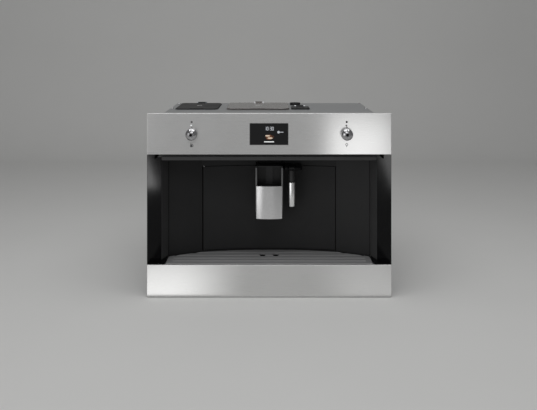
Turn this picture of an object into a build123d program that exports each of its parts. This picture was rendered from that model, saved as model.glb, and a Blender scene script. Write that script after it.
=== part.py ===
from build123d import *
import math
import os

# Built-in coffee machine, millimetres. X runs to the viewer's right, the front faces -Y and Z is up.
# The origin is under the middle of the machine, on the shelf it stands on. Depths are measured
# backwards from the face of the steel panels, heights from the shelf.

# ---- whole machine ----
front_width = 597.0
front_lift = 1.5  # gap under the steel front
lower_panel_height = 78.2
niche_height = 269.4
upper_panel_height = 100.4
body_depth = 361.0
knob_reach = 19.0

# ---- sheets, walls and clearances ----
skin = 1.2  # steel front panels
skin_edge = 0.8  # rounding of the steel edges
sheet = 1.2  # chassis and covers
wall = 2.5  # moulded parts
seat_gap = 0.3  # between pieces that part from each other
shaft_gap = 0.05  # radial, round pins and shafts
pin_gap = 0.02  # radial, pins in the piece that holds them

# ---- how far pieces stand in from the sides of the front ----
base_inset = 18.5
side_panel_inset = 28.0
cheek_inset = 30.5
lip_inset = 34.5
ledge_inset = 41.3
jamb_inset = 42.5
facet_inset = 43.5
door_inset = 124.5

# ---- installation base and telescopic rails ----
base_front = 26.0
base_rear_gap = 15.0
base_sheet = 1.5
base_hole_radius = 2.6
base_hole_spacing_x = 470.0
base_hole_spacing_y = 240.0
base_slot_length = 150.0
base_slot_width = 40.0
base_slot_spacing = 180.0
rail_depth = 12.7
rail_height = 45.0
rail_low = 6.5
rail_sheet = 1.2
rail_play = 0.4
rail_hole_radius = 2.2
rail_hole_spacing = 120.0
middle_rail_setback = 2.0
middle_rail_short = 20.0
flange_over_rail = 2.5
step_over_rail = 6.5

# ---- chassis and covers ----
chassis_floor = 12.0
chassis_lip_height = 12.0
side_panel_front = 36.0
side_flange = 12.0
side_flange_setback = 16.0
cover_drop = 9.5  # top cover below the top of the steel front
cover_front_flange = 12.0
cover_front = 22.0
cover_flange_inset = 6.0
rear_panel_inset = 1.0
rear_panel_overlap = 8.0
rear_corner = 4.0
vent_length = 60.0
vent_radius = 2.6
vent_pitch = 14.0
vent_rows = 8
vent_columns = 4
vent_column_pitch = 90.0
vent_drop = 110.0
slot_length = 50.0
slot_width = 5.0
side_slot_depth = 250.0
side_slot_height = 250.0
side_slot_spacing = 70.0
side_slot_pitch = 12.0
side_slot_rows = 9
floor_slot_depth = 260.0
floor_slot_spacing = 80.0
floor_slot_pitch = 14.0
floor_slot_rows = 6
inlet_inset = 64.5
inlet_height = 115.0
inlet_width = 27.4
inlet_tall = 20.0
inlet_reach = 18.0
inlet_wall = 1.5
inlet_face = 2.2
inlet_flange_width = 50.0
inlet_flange_height = 24.0
inlet_flange_corner = 6.0
inlet_pin_spacing = 7.0
inlet_pin_width = 2.0
inlet_pin_length = 15.0
screw_head_radius = 3.6
screw_head_height = 2.2
screw_head_edge = 0.9
screw_radius = 1.9
screw_hole_radius = 2.1
screw_length = 9.0
side_screw_front = 60.0
side_screw_rear_gap = 17.2
rear_screw_margin = 30.0

# ---- control panel ----
panel_return = 18.0
knob_x = 189.3
knob_drop = 0.3  # below the middle of the panel
knob_radius = 14.15
knob_base_gap = 2.0
knob_base_edge = 1.2
knob_shaft_radius = 3.0
knob_travel = 1.5
knob_rim = 3.0
knob_dish_depth = 2.6
knob_boss_radius = 6.6
knob_boss_slope = 1.6
knob_eye_radius = 3.7
knob_index_width = 1.3
encoder_size = 16.0
encoder_corner = 1.5
encoder_length = 10.0
encoder_floor = 0.6
bushing_radius = 4.5
plunger_length = 3.0
plunger_edge = 0.5
panel_knob_hole = 5.5
display_width = 94.2
display_height = 53.0
display_x = -0.5
display_drop = 0.4  # below the middle of the panel
display_recess = 0.3
display_glass = 2.0
display_edge = 0.4
display_gap = 0.2
display_rim = 3.5
carrier_wall = 3.0
module_margin = 2.0
module_depth = 8.0
plug_width = 50.0
plug_height = 8.0
board_depth = 24.0  # front of the control board behind the face
board_width = 430.0
board_height = 56.0
board_corner = 4.0
board_thickness = 1.6
board_post_radius = 4.0
part_height = 8.0  # of the parts soldered on the control board
chip_size = 22.0
chip_x = -60.0
connector_x = 90.0
connector_width = 60.0
relay_x = -150.0
relay_width = 36.0
low_part_height = 10.0
capacitor_x = 150.0
capacitor_spacing = 20.0
capacitor_radius = 6.0

# ---- niche ----
lip_depth = 12.0
lip_drop = 16.2  # below the steel panel
ceiling_drop = 7.3
cheek_back_depth = 30.1
cheek_front_depth = 0.6
cheek_thickness = 2.5
cheek_head_gap = 0.4
cheek_edge = 0.4
ledge_gap = 0.4
ledge_thickness = 2.5
ledge_setback = 4.0
jamb_back_depth = 65.0
jamb_thickness = 2.4
jamb_skew = 0.8
jamb_return = 12.0
facet_depth = 72.0
door_edge_depth = 109.0
door_mid_depth = 127.0
ceiling = 3.0
ceiling_gap = 1.5
ceiling_overlap = 7.0
lamp_x = 120.0
lamp_depth = 60.0
lamp_radius = 12.0
lamp_flange = 3.0
lamp_flange_thickness = 2.0
lamp_edge = 0.8
upstand_depth = 22.2
upstand_gap = 0.4  # beside the cheeks
upstand_rise = 5.9  # above the lower edge of the steel panel

# ---- service door ----
sill_drop = 5.7  # below the drip grid
sill_rise = 1.1  # above the drip grid
band_drop = 48.7  # door opening below the steel panel
door_end_gap = 1.5
door_seam = 2.3
door_thickness = 3.0
door_rib_depth = 9.0
door_rib_inset = 5.0
hinge_inset = 4.6
hinge_depth = 112.4
hinge_barrel = 2.5
hinge_rib_gap = 2.0
hinge_pin_radius = 1.4
hinge_pin_length = 16.0
hinge_pin_edge = 0.3
boss_half = 5.0
boss_back = 121.0
boss_height = 9.0
boss_overlap = 0.8

# ---- dispenser ----
guide_half = 34.75
guide_bar = 4.0
guide_corner = 2.2
guide_front = 62.0
guide_length = 118.5
guide_rise = 8.1  # above the door opening
guide_back_depth = 102.0
guide_back_wall = 4.0
guide_roof_setback = 5.0
guide_rib_x = 10.0
guide_rib = 2.0
cover_half = 33.35
cover_drop_in_guide = 49.0
cover_length = 82.0
cover_front_depth = 52.0
cover_edge_depth = 57.0
cover_sheet = 1.2
cover_corner = 2.4
cover_return_depth = 60.5
carriage_half = 30.3
carriage_back = 98.0
carriage_lift = 10.5
carriage_corner = 3.0
carriage_pocket = 14.0
carriage_pocket_offset = 8.0
carriage_pocket_lift = 12.0
carriage_pocket_corner = 4.0
spout_x = 23.0
spout_depth = 72.0
spout_radius = 5.5
spout_taper = 12.0
spout_bore = 3.0
spout_bore_rise = 4.0
spout_tip_lift = 1.0

# ---- wand ----
wand_x = 57.6
wand_depth = 75.0
wand_pivot_rise = 1.6  # above the door opening
mount_left = 39.0
mount_right = 84.0
mount_half_height = 3.5
mount_front = 66.0
mount_corner = 5.0
mount_edge = 1.0
mount_slot_half = 8.3
mount_slot_back = 87.0
mount_leg_inset = -3.0
mount_leg_width = 14.0
mount_leg_setback = 10.0
mount_drop = 38.0
wand_pin_radius = 1.5
wand_pin_grip = 7.0
wand_head_radius = 5.0
wand_head_half = 7.9
wand_head_edge = 1.0
grip_radius = 7.75
grip_length = 28.5
grip_drop = 5.5
grip_shoulder = 1.2
grip_shoulder_height = 2.0
wand_tube_radius = 4.0
wand_bore = 1.2
wand_bore_length = 20.0
wand_tip_radius = 6.0
wand_tip_length = 3.5
sleeve_radius = 10.0
sleeve_length = 61.0
sleeve_drop = 1.5
sleeve_bore = 8.1
sleeve_edge = 1.0
sleeve_nose_height = 8.0

# ---- drip drawer ----
drawer_top_return = 9.2
drawer_wall = 2.5
carrier_back = 20.2
carrier_pockets = 6
carrier_end = 17.3
arm_x = 212.0
arm_width = 25.0
arm_gap = 0.4
arm_back = 110.0
grid_front = 10.2
grid_wall_gap = 6.5  # the drawer closes clear of the bowed wall
grid_side_gap = 0.1
grid_corner = 12.0
grid_thickness = 2.5
grid_edge = 0.6
grid_groove_radius = 7.0
grid_groove_depth = 1.3
grid_groove_pitch = 22.0
grid_groove_first = 28.0
grid_groove_count = 4
grid_groove_inset = 14.0
grid_hole_x = 17.0
grid_hole_depth = 80.0
grid_hole_radius = 8.5
tray_inset = 2.0
tray_front = 20.5
tray_lift = 4.8
tray_edge = 1.5

# ---- brew compartment ----
liner_gap = 2.0  # to the grinder behind it
liner_side_gap = 0.5
liner_front = 105.0
bin_side_gap = 7.5
bin_width = 138.0
bin_door_gap = 3.0
bin_back_gap = 7.5
bin_height = 118.0
bin_wall = 2.2
bin_corner = 12.0
bin_edge = 1.5
bin_grip_half = 26.0
brew_left = 8.0
brew_width = 124.0
brew_setback = 6.0
brew_back_gap = 9.5
brew_height = 160.0
brew_corner = 6.0
brew_nose_low = 70.0
brew_nose_high = 40.0
brew_pocket_depth = 22.0
brew_pocket_low = 34.0
brew_pocket_high = 26.0
brew_pocket_corner = 8.0
brew_chamber_radius = 27.0
brew_chamber_wall = 3.0
brew_chamber_height = 14.0
brew_chamber_floor = 15.0
brew_chamber_offset = 12.0
brew_tab_spacing = 60.0
brew_tab_lift = 60.0
brew_tab_width = 18.0
brew_tab_height = 12.0
brew_tab_corner = 3.0

# ---- beans and grinder ----
hopper_side_gap = 24.0  # between the tank and the hopper's lid
hopper_offset = 53.0  # hopper ahead of the grinder
hopper_width = 160.0
hopper_length = 170.0
hopper_corner = 18.0
hopper_wall = 2.5
hopper_flange = 6.0
throat_radius = 31.0
throat_rise = 22.0
throat_flat = 1.0
neck_step = 3.0
neck_depth = 8.0
grinder_gap = 4.0  # to the rear panel
grinder_drop = 3.2  # deck below the door opening
grinder_motor_radius = 35.0
grinder_motor_edge = 4.0
grinder_motor_length = 65.2
grinder_tail_radius = 12.0
grinder_tail_length = 12.0
grinder_burr_height = 32.8
grinder_burr_radius = 44.0
grinder_burr_edge = 6.0
grinder_collar = 2.0
burr_cone = 6.0
deck_return = 14.0
deck_slot_x = 120.0
deck_slot_spacing = 80.0
deck_slot_length = 50.0
deck_slot_width = 14.0
dial_arm = 105.0
dial_arm_overlap = 4.0
dial_arm_thickness = 8.0
dial_radius = 15.0
dial_height = 6.0
dial_edge = 0.6
dial_shaft_radius = 3.0
dial_shaft_drop = 14.0
dial_notches = 12
dial_notch_radius = 2.2
dial_notch_offset = 1.2
dial_mark_width = 1.4
dial_mark_inset = 4.0
dial_mark_depth = 0.8
dial_boss_radius = 8.0
spout_floor = 6.0
spout_height = 16.0
chute_arm = 115.0
chute_back_gap = 57.0
chute_width = 40.0
chute_length = 50.0
chute_corner = 4.0
chute_wall = 2.0
chute_drop = 2.4
chute_rim = 4.0
hopper_lid_thickness = 3.0
lid_edge = 0.8
lid_overhang = 5.0
lid_pin_radius = 1.5
lid_pin_reach = 3.0
lid_barrel_radius = 3.0
lid_barrel_length = 20.0
lid_barrel_gap = 0.4
lid_ear_half = 2.0
lid_tongue = 4.0
lid_grip = 20.0
lid_grip_width = 8.0
lid_grip_inset = 9.0

# ---- water ----
tank_side_gap = 15.3
tank_width = 115.0
tank_length = 173.0
tank_rear_gap = 12.2
tank_lift = 4.1  # above the brew compartment
tank_rise = 0.5  # above the underside of the top cover
tank_corner = 14.0
tank_edge = 4.0
tank_wall = 2.4
tank_play = 1.6  # round the tank where it passes the top cover
tank_deck_wall = 3.0
tank_axis_inset = 1.0
tank_spigot_radius = 8.0
tank_spigot_height = 9.0
tank_lid_thickness = 3.0
dock_drop = 19.0
dock_wall = 3.0
dock_rim = 12.0
dock_margin = 4.0
pump_radius = 11.0
pump_length = 120.0
pump_x = 70.0
pump_gap = 19.0
pump_height = 45.0
pump_coil_half = 27.0
pump_coil_corner = 5.0
pump_foot_width = 12.0
pump_foot_half = 16.0
pump_foot_drop = 2.0
block_side_gap = 19.3
block_width = 64.0
block_length = 150.0
block_rear_gap = 57.2
block_low = 90.0
block_high = 240.0
block_corner = 10.0
block_fin_pitch = 15.0
block_fin_count = 8
block_fin_depth = 4.0
block_fin_width = 5.0
block_leg_inset = 25.0
block_leg_half_width = 15.0
block_leg_half_length = 8.0
block_port_inset = 30.0
block_port_radius = 7.0
block_port_height = 14.0
power_board_side_gap = 19.3
power_board_length = 180.0
power_board_rear_gap = 27.2
power_board_low = 90.0
power_board_high = 270.0
power_board_corner = 4.0
power_post_inset = 10.0
power_part_height = 28.0
transformer_width = 46.0
transformer_height = 38.0
transformer_inset = 50.0
filter_radius = 14.0
filter_inset = 40.0
terminal_width = 70.0
terminal_height = 20.0
terminal_inset = 34.0

# ---- worked out from the driving dimensions ----
face_y = (knob_reach - body_depth) / 2
front_half = front_width / 2
tray_top = front_lift + lower_panel_height
panel_bottom = tray_top + niche_height
front_top = panel_bottom + upper_panel_height

base_width = front_width - 2 * base_inset
base_length = body_depth - base_front - base_rear_gap
chassis_half = base_width / 2 - base_sheet - rail_depth
chassis_back = body_depth - sheet - vent_radius
chassis_step_height = rail_low + rail_height + step_over_rail
chassis_top = chassis_floor + sheet
side_panel_half = front_half - side_panel_inset
side_inner = side_panel_half - sheet
rear_face = chassis_back + sheet
cover_height = front_top - cover_drop
cover_top = cover_height + sheet

sill_low = tray_top - sill_drop
sill_high = tray_top + sill_rise
band_low = panel_bottom - band_drop
door_low = sill_high + door_end_gap
door_high = band_low - door_end_gap
lip_half = front_half - lip_inset
lip_low = panel_bottom - lip_drop
lip_high = panel_bottom - ceiling_drop
ceiling_low = lip_high - ceiling
upstand_height = panel_bottom + upstand_rise
cheek_back_half = front_half - cheek_inset
cheek_slope = (front_half - cheek_back_half) / (cheek_back_depth - cheek_front_depth)
ledge_half = front_half - ledge_inset
jamb_half = front_half - jamb_inset
facet_half = front_half - facet_inset
door_half = front_half - door_inset
facet_slope = (door_edge_depth - facet_depth) / (facet_half - door_half)
arc_rise = door_mid_depth - door_edge_depth
arc_radius = (door_half**2 + arc_rise**2) / (2 * arc_rise)
arc_centre = door_mid_depth - arc_radius
hinge_x = hinge_inset - door_half
grid_half = facet_half - grid_side_gap

grinder_depth = rear_face - 2 * sheet - grinder_burr_radius - grinder_gap
grinder_burr_low = band_low - grinder_drop
grinder_burr_high = grinder_burr_low + grinder_burr_height
liner_back = grinder_depth - grinder_burr_radius - liner_gap
liner_half = door_half - liner_side_gap
tank_left = tank_side_gap - side_inner
tank_right = tank_left + tank_width
tank_back = chassis_back - tank_rear_gap
tank_front = tank_back - tank_length
tank_low = band_low + wall + tank_lift
tank_top = cover_height + tank_rise
hopper_x = tank_right + hopper_side_gap + lid_overhang + hopper_width / 2
hopper_depth = grinder_depth - hopper_offset
hopper_floor = grinder_burr_high + throat_rise
dial_x = hopper_x + dial_arm
dial_depth = grinder_depth
dial_shaft_low = grinder_burr_high - dial_shaft_drop
chute_x = hopper_x + chute_arm
chute_depth = liner_back - chute_back_gap
chute_low = band_low - chute_drop


def at(depth):
    """Y of a depth behind the face of the steel panels."""
    return face_y + depth


def arc_depth(x, beyond=0.0):
    """Depth of the curved back wall at x, or of a curve a little beyond it."""
    return arc_centre + math.sqrt((arc_radius + beyond) ** 2 - x**2)


def beside_cheek(depth):
    """X that stays a little inside the cheek's inner face at a depth."""
    return front_half - (depth - cheek_front_depth) * cheek_slope - upstand_gap


def facing(depth):
    """Upright plane at a depth, seen from the front: its x is X and its y is Z."""
    return Plane(origin=(0, at(depth), 0), x_dir=(1, 0, 0), z_dir=(0, -1, 0))


def sideways(x):
    """Upright plane at x, seen from the right: its x is Y and its y is Z."""
    return Plane(origin=(x, 0, 0), x_dir=(0, 1, 0), z_dir=(1, 0, 0))


def block(x, depth, z, mode=Mode.ADD):
    """Box between two X, two depths and two heights, in the part that is being built."""
    middle = ((x[0] + x[1]) / 2, (at(depth[0]) + at(depth[1])) / 2, (z[0] + z[1]) / 2)
    with Locations(middle):
        Box(x[1] - x[0], depth[1] - depth[0], z[1] - z[0], mode=mode)


def write(part, name):
    """Label a finished piece and write its file."""
    part.label = name
    export_step(part, f"parts/{name}.step")


def write_pair(part, name):
    """Write a piece modelled on the right side, and its mirror image on the left."""
    write(part, f"{name}_right")
    write(mirror(part, about=Plane.YZ), f"{name}_left")


os.makedirs("parts", exist_ok=True)

# ===================================================================== base and rails

rail_high = rail_low + rail_height

with BuildPart() as installation_base:
    with BuildSketch(facing(base_front)):
        Rectangle(base_width, rail_high + flange_over_rail, align=(Align.CENTER, Align.MIN))
        with Locations((0, base_sheet)):
            Rectangle(
                base_width - 2 * base_sheet,
                rail_high + flange_over_rail,
                align=(Align.CENTER, Align.MIN),
                mode=Mode.SUBTRACT,
            )
    extrude(amount=-base_length)
    base_middle = at(base_front + base_length / 2)
    with Locations((0, base_middle, 0)):
        with GridLocations(base_hole_spacing_x, base_hole_spacing_y, 2, 2):
            Hole(base_hole_radius)
    with BuildSketch(Plane.XY):
        with Locations((0, base_middle)):
            with GridLocations(base_slot_spacing, base_slot_width * 2, 2, 3):
                SlotOverall(base_slot_length, base_slot_width)
    extrude(amount=base_sheet, mode=Mode.SUBTRACT)
write(installation_base.part, "installation_base")


def rail_member(web, tip, low, high, front, length):
    """One C-shaped rail member: its web stands at one X and its flanges reach to the other."""
    inward = math.copysign(rail_sheet, tip - web)
    with BuildPart() as member:
        with BuildSketch(facing(front)):
            with Locations(((web + tip) / 2, (low + high) / 2)):
                Rectangle(abs(tip - web), high - low)
            with Locations(((web + tip) / 2 + inward, (low + high) / 2)):
                Rectangle(abs(tip - web), high - low - 2 * rail_sheet, mode=Mode.SUBTRACT)
        extrude(amount=-length)
        holes = Plane(origin=(web, at(front + length / 2), (low + high) / 2), z_dir=(1, 0, 0))
        with Locations(holes):
            with GridLocations(0, rail_hole_spacing, 1, 2):
                Hole(rail_hole_radius)
    return member.part


rail_step = rail_sheet + rail_play
rail_outer_web = base_width / 2 - base_sheet
rail_middle_web = rail_outer_web - rail_step
rail_middle_tip = chassis_half + rail_step
rail_inner_tip = rail_middle_web - rail_step
rail_outer_tip = rail_middle_tip + rail_play
write_pair(
    rail_member(rail_outer_web, rail_outer_tip, rail_low, rail_high, base_front, base_length),
    "rail_outer",
)
write_pair(
    rail_member(
        rail_middle_web,
        rail_middle_tip,
        rail_low + rail_step,
        rail_high - rail_step,
        base_front + middle_rail_setback,
        base_length - middle_rail_short,
    ),
    "rail_middle",
)
write_pair(
    rail_member(
        chassis_half,
        rail_inner_tip,
        rail_low + 2 * rail_step,
        rail_high - 2 * rail_step,
        base_front,
        base_length,
    ),
    "rail_inner",
)

# ===================================================================== chassis and covers

chassis_lip_top = chassis_step_height + chassis_lip_height

with BuildPart() as chassis_base:
    with BuildSketch(facing(base_front)):
        with BuildLine():
            Polyline(
                (0, chassis_floor),
                (chassis_half, chassis_floor),
                (chassis_half, chassis_step_height),
                (side_inner, chassis_step_height),
                (side_inner, chassis_lip_top),
                (side_inner - sheet, chassis_lip_top),
                (side_inner - sheet, chassis_step_height + sheet),
                (chassis_half - sheet, chassis_step_height + sheet),
                (chassis_half - sheet, chassis_floor + sheet),
                (0, chassis_floor + sheet),
            )
            mirror(about=Plane.YZ)
        make_face()
    extrude(amount=-(chassis_back - base_front))
    block(
        (-chassis_half + sheet, chassis_half - sheet),
        (chassis_back - sheet, chassis_back),
        (chassis_floor + sheet, chassis_lip_top),
    )
    with BuildSketch(Plane.XY.offset(chassis_floor)):
        with Locations((0, at(floor_slot_depth))):
            with GridLocations(floor_slot_spacing, floor_slot_pitch, 5, floor_slot_rows):
                SlotOverall(slot_length, slot_width)
    extrude(amount=sheet, mode=Mode.SUBTRACT)
write(chassis_base.part, "chassis_base")

side_screw_x = side_panel_half - side_flange / 2
last_screw = chassis_back - side_screw_rear_gap
screw_depths = (side_screw_front, (side_screw_front + last_screw) / 2, last_screw)
rear_low = chassis_lip_top - rear_panel_overlap
rear_half = side_panel_half - rear_panel_inset
rear_screw_x = rear_half - side_flange / 2
rear_screw_heights = (
    rear_low + rear_screw_margin,
    (rear_low + cover_height) / 2,
    cover_height - rear_screw_margin,
)

with BuildPart() as side_panel:
    block(
        (side_inner, side_panel_half),
        (side_panel_front, chassis_back),
        (chassis_step_height, cover_height),
    )
    block(
        (side_inner, side_panel_half),
        (cover_front + seat_gap, side_panel_front),
        (upstand_height + seat_gap, cover_height),
    )
    block(
        (side_panel_half - side_flange, side_inner),
        (cover_front + side_flange_setback, chassis_back),
        (cover_height - sheet, cover_height),
    )
    block(
        (side_panel_half - side_flange, side_inner),
        (chassis_back - sheet, chassis_back),
        (chassis_lip_top + seat_gap, cover_height - sheet),
    )
    side_vents = Plane(
        origin=(side_panel_half, at(side_slot_depth), side_slot_height),
        x_dir=(0, 1, 0),
        z_dir=(1, 0, 0),
    )
    with BuildSketch(side_vents):
        with GridLocations(side_slot_spacing, side_slot_pitch, 2, side_slot_rows):
            SlotOverall(slot_length, slot_width)
    extrude(amount=-sheet, mode=Mode.SUBTRACT)
    with BuildSketch(Plane.XY.offset(cover_height)):
        with Locations(*[(side_screw_x, at(depth)) for depth in screw_depths]):
            Circle(screw_hole_radius)
    extrude(amount=-sheet, mode=Mode.SUBTRACT)
    with BuildSketch(facing(chassis_back - sheet)):
        with Locations(*[(rear_screw_x, height) for height in rear_screw_heights]):
            Circle(screw_hole_radius)
    extrude(amount=-sheet, mode=Mode.SUBTRACT)
write_pair(side_panel.part, "side_panel")

inlet_x = rear_half - inlet_inset
rear_screw_spots = [(side * rear_screw_x, z) for side in (-1, 1) for z in rear_screw_heights]

with BuildPart() as rear_panel:
    with BuildSketch(facing(chassis_back)):
        with Locations((0, (rear_low + cover_height) / 2)):
            Rectangle(2 * rear_half, cover_height - rear_low)
        fillet(vertices(), rear_corner)
    extrude(amount=-sheet)
    louvre_spots = Plane(
        origin=(0, at(rear_face), cover_height - vent_drop), x_dir=(1, 0, 0), z_dir=(0, -1, 0)
    )
    with Locations(louvre_spots):
        with GridLocations(vent_column_pitch, vent_pitch, vent_columns, vent_rows):
            Cylinder(vent_radius, vent_length, rotation=(0, 90, 0))
            Cylinder(
                vent_radius - sheet, vent_length - 2 * sheet, rotation=(0, 90, 0), mode=Mode.SUBTRACT
            )
            with Locations((0, -vent_radius / 2, 0)):
                Box(vent_length - 2 * sheet, vent_radius, 2 * vent_radius, mode=Mode.SUBTRACT)
    block(
        (-rear_half, rear_half),
        (chassis_back - 2 * vent_radius, chassis_back),
        (rear_low, cover_height),
        mode=Mode.SUBTRACT,
    )
    with BuildSketch(facing(chassis_back)):
        with Locations((inlet_x, inlet_height)):
            Rectangle(inlet_width + 2 * seat_gap, inlet_tall + 2 * seat_gap)
        with Locations(*rear_screw_spots):
            Circle(screw_hole_radius)
    extrude(amount=-sheet, mode=Mode.SUBTRACT)
write(rear_panel.part, "rear_panel")

with BuildPart() as power_inlet:
    with BuildSketch(facing(rear_face)):
        with Locations((inlet_x, inlet_height)):
            RectangleRounded(inlet_flange_width, inlet_flange_height, inlet_flange_corner)
    extrude(amount=-inlet_face)
    with BuildSketch(facing(rear_face)):
        with Locations((inlet_x, inlet_height)):
            Rectangle(inlet_width, inlet_tall)
    extrude(amount=inlet_reach)
    with BuildSketch(facing(rear_face + inlet_face)):
        with Locations((inlet_x, inlet_height)):
            Rectangle(inlet_width - 2 * inlet_wall, inlet_tall - 2 * inlet_wall)
    extrude(amount=inlet_reach, mode=Mode.SUBTRACT)
    with BuildSketch(facing(rear_face + inlet_face - inlet_reach)):
        with Locations(
            (inlet_x - inlet_pin_spacing, inlet_height),
            (inlet_x, inlet_height + inlet_pin_width),
            (inlet_x + inlet_pin_spacing, inlet_height),
        ):
            Rectangle(inlet_pin_width, 2 * inlet_pin_width)
    extrude(amount=-inlet_pin_length)
write(power_inlet.part, "power_inlet")

cover_screw_spots = [(side * side_screw_x, at(depth)) for side in (-1, 1) for depth in screw_depths]

with BuildPart() as top_cover:
    with BuildSketch(Plane.XY.offset(cover_height)):
        with Locations((0, at((cover_front + rear_face) / 2))):
            Rectangle(2 * side_panel_half, rear_face - cover_front)
        with Locations(((tank_left + tank_right) / 2, at((tank_front + tank_back) / 2))):
            RectangleRounded(
                tank_right - tank_left + 2 * tank_play,
                tank_back - tank_front + 2 * tank_play,
                tank_corner + tank_play,
                mode=Mode.SUBTRACT,
            )
        with Locations((hopper_x, at(hopper_depth))):
            RectangleRounded(
                hopper_width - 2 * hopper_flange,
                hopper_length - 2 * hopper_flange,
                hopper_corner - hopper_flange,
                mode=Mode.SUBTRACT,
            )
        with Locations((chute_x, at(chute_depth))):
            RectangleRounded(chute_width, chute_length, chute_corner, mode=Mode.SUBTRACT)
        with Locations((dial_x, at(dial_depth))):
            Circle(dial_shaft_radius + seat_gap, mode=Mode.SUBTRACT)
        with Locations(*cover_screw_spots):
            Circle(screw_hole_radius, mode=Mode.SUBTRACT)
    extrude(amount=sheet)
    block(
        (-side_panel_half + cover_flange_inset, side_panel_half - cover_flange_inset),
        (cover_front, cover_front + sheet),
        (cover_height - cover_front_flange, front_top - skin),
    )
    lid_hinges = (
        (hopper_x, hopper_depth + hopper_length / 2 + lid_overhang),
        (chute_x, chute_depth + chute_length / 2 + lid_overhang),
    )
    for hinge_at, hinge_back in lid_hinges:
        for side in (-1, 1):
            ear_x = hinge_at + side * (lid_barrel_length / 2 + lid_barrel_gap + lid_ear_half)
            ear = Plane(
                origin=(ear_x, at(hinge_back), cover_top), z_dir=(1, 0, 0), x_dir=(0, 1, 0)
            )
            with BuildSketch(ear):
                with Locations((0, lid_barrel_radius + seat_gap)):
                    Circle(lid_barrel_radius)
                Rectangle(
                    2 * lid_barrel_radius,
                    lid_barrel_radius + seat_gap,
                    align=(Align.CENTER, Align.MIN),
                )
                with Locations((0, lid_barrel_radius + seat_gap)):
                    Circle(lid_pin_radius + shaft_gap, mode=Mode.SUBTRACT)
            extrude(amount=lid_ear_half, both=True)
write(top_cover.part, "top_cover")


def screw(spot, inward):
    """Pan-head screw whose head rests on the outside of a cover."""
    plane = Plane(origin=spot, z_dir=inward)
    with BuildPart() as pan_head:
        with BuildSketch(plane):
            Circle(screw_head_radius)
        extrude(amount=-screw_head_height)
        head_edge = pan_head.edges().sort_by(lambda e: -(e.center() - Vector(*spot)).length)[:1]
        chamfer(head_edge, screw_head_edge)
        with BuildSketch(plane):
            Circle(screw_radius)
        extrude(amount=screw_length)
    return pan_head.part


cover_screws = Compound(
    [screw((x, y, cover_top), (0, 0, -1)) for x, y in cover_screw_spots]
    + [screw((x, at(rear_face), z), (0, -1, 0)) for x, z in rear_screw_spots]
)
write(cover_screws, "cover_screws")

# ===================================================================== control panel

panel_middle = (panel_bottom + front_top) / 2
knob_height = panel_middle - knob_drop
display_z = panel_middle - display_drop
knob_spots = [(side * knob_x, knob_height) for side in (-1, 1)]

with BuildPart() as control_fascia:
    with BuildSketch(facing(0)):
        with Locations((0, panel_middle)):
            Rectangle(front_width, upper_panel_height)
    extrude(amount=-panel_return)
    fillet(control_fascia.edges().group_by(Axis.Y)[0], skin_edge)
    with BuildSketch(facing(skin)):
        with Locations((0, panel_middle)):
            Rectangle(front_width - 2 * skin, upper_panel_height - 2 * skin)
    extrude(amount=-panel_return, mode=Mode.SUBTRACT)
    with BuildSketch(facing(0)):
        with Locations((display_x, display_z)):
            Rectangle(display_width + 2 * display_gap, display_height + 2 * display_gap)
        with Locations(*knob_spots):
            Circle(panel_knob_hole)
    extrude(amount=-skin, mode=Mode.SUBTRACT)
write(control_fascia.part, "control_fascia")

glass_back = display_recess + display_glass
carrier_wall_back = skin + carrier_wall
module_front = carrier_wall_back

with BuildPart() as fascia_carrier:
    carrier_width = front_width - 2 * skin
    carrier_height = upper_panel_height - 2 * skin
    with BuildSketch(facing(skin)):
        with Locations((0, panel_middle)):
            Rectangle(carrier_width, carrier_height)
    extrude(amount=-(cover_front - skin))
    pocket_width = carrier_width - 2 * wall
    pocket_height = carrier_height - 2 * wall
    with BuildSketch(facing(carrier_wall_back)):
        with Locations((0, panel_middle)):
            Rectangle(pocket_width, pocket_height)
    extrude(amount=-board_depth, mode=Mode.SUBTRACT)
    with BuildSketch(facing(carrier_wall_back)):
        with Locations((0, panel_middle)):
            with GridLocations(board_width / 3, board_height - 2 * board_corner, 4, 2):
                Circle(board_post_radius)
    extrude(amount=-(board_depth - carrier_wall_back))
    with BuildSketch(facing(skin)):
        with Locations((display_x, display_z)):
            Rectangle(display_width + 2 * display_gap, display_height + 2 * display_gap)
    extrude(amount=-(glass_back - skin), mode=Mode.SUBTRACT)
    with BuildSketch(facing(skin)):
        with Locations((display_x, display_z)):
            Rectangle(display_width - 2 * display_rim, display_height - 2 * display_rim)
        with Locations(*knob_spots):
            Circle(bushing_radius + seat_gap)
    extrude(amount=-carrier_wall_back, mode=Mode.SUBTRACT)
write(fascia_carrier.part, "fascia_carrier")

with BuildPart() as display_glass_pane:
    with BuildSketch(facing(display_recess)):
        with Locations((display_x, display_z)):
            Rectangle(display_width, display_height)
    extrude(amount=-display_glass)
    chamfer(display_glass_pane.edges().group_by(Axis.Y)[0], display_edge)
write(display_glass_pane.part, "display_glass")

with BuildPart() as display_module:
    with BuildSketch(facing(module_front)):
        with Locations((display_x, display_z)):
            Rectangle(display_width + 2 * module_margin, display_height + 2 * module_margin)
    extrude(amount=-module_depth)
    with BuildSketch(facing(glass_back)):
        with Locations((display_x, display_z)):
            Rectangle(
                display_width - 2 * display_rim - 2 * seat_gap,
                display_height - 2 * display_rim - 2 * seat_gap,
            )
    extrude(amount=-(module_front - glass_back))
    with BuildSketch(facing(module_front + module_depth)):
        with Locations((display_x, display_z - display_height / 2 + plug_height)):
            Rectangle(plug_width, plug_height)
    extrude(amount=-(board_depth - module_front - module_depth))
write(display_module.part, "display_module")

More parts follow.
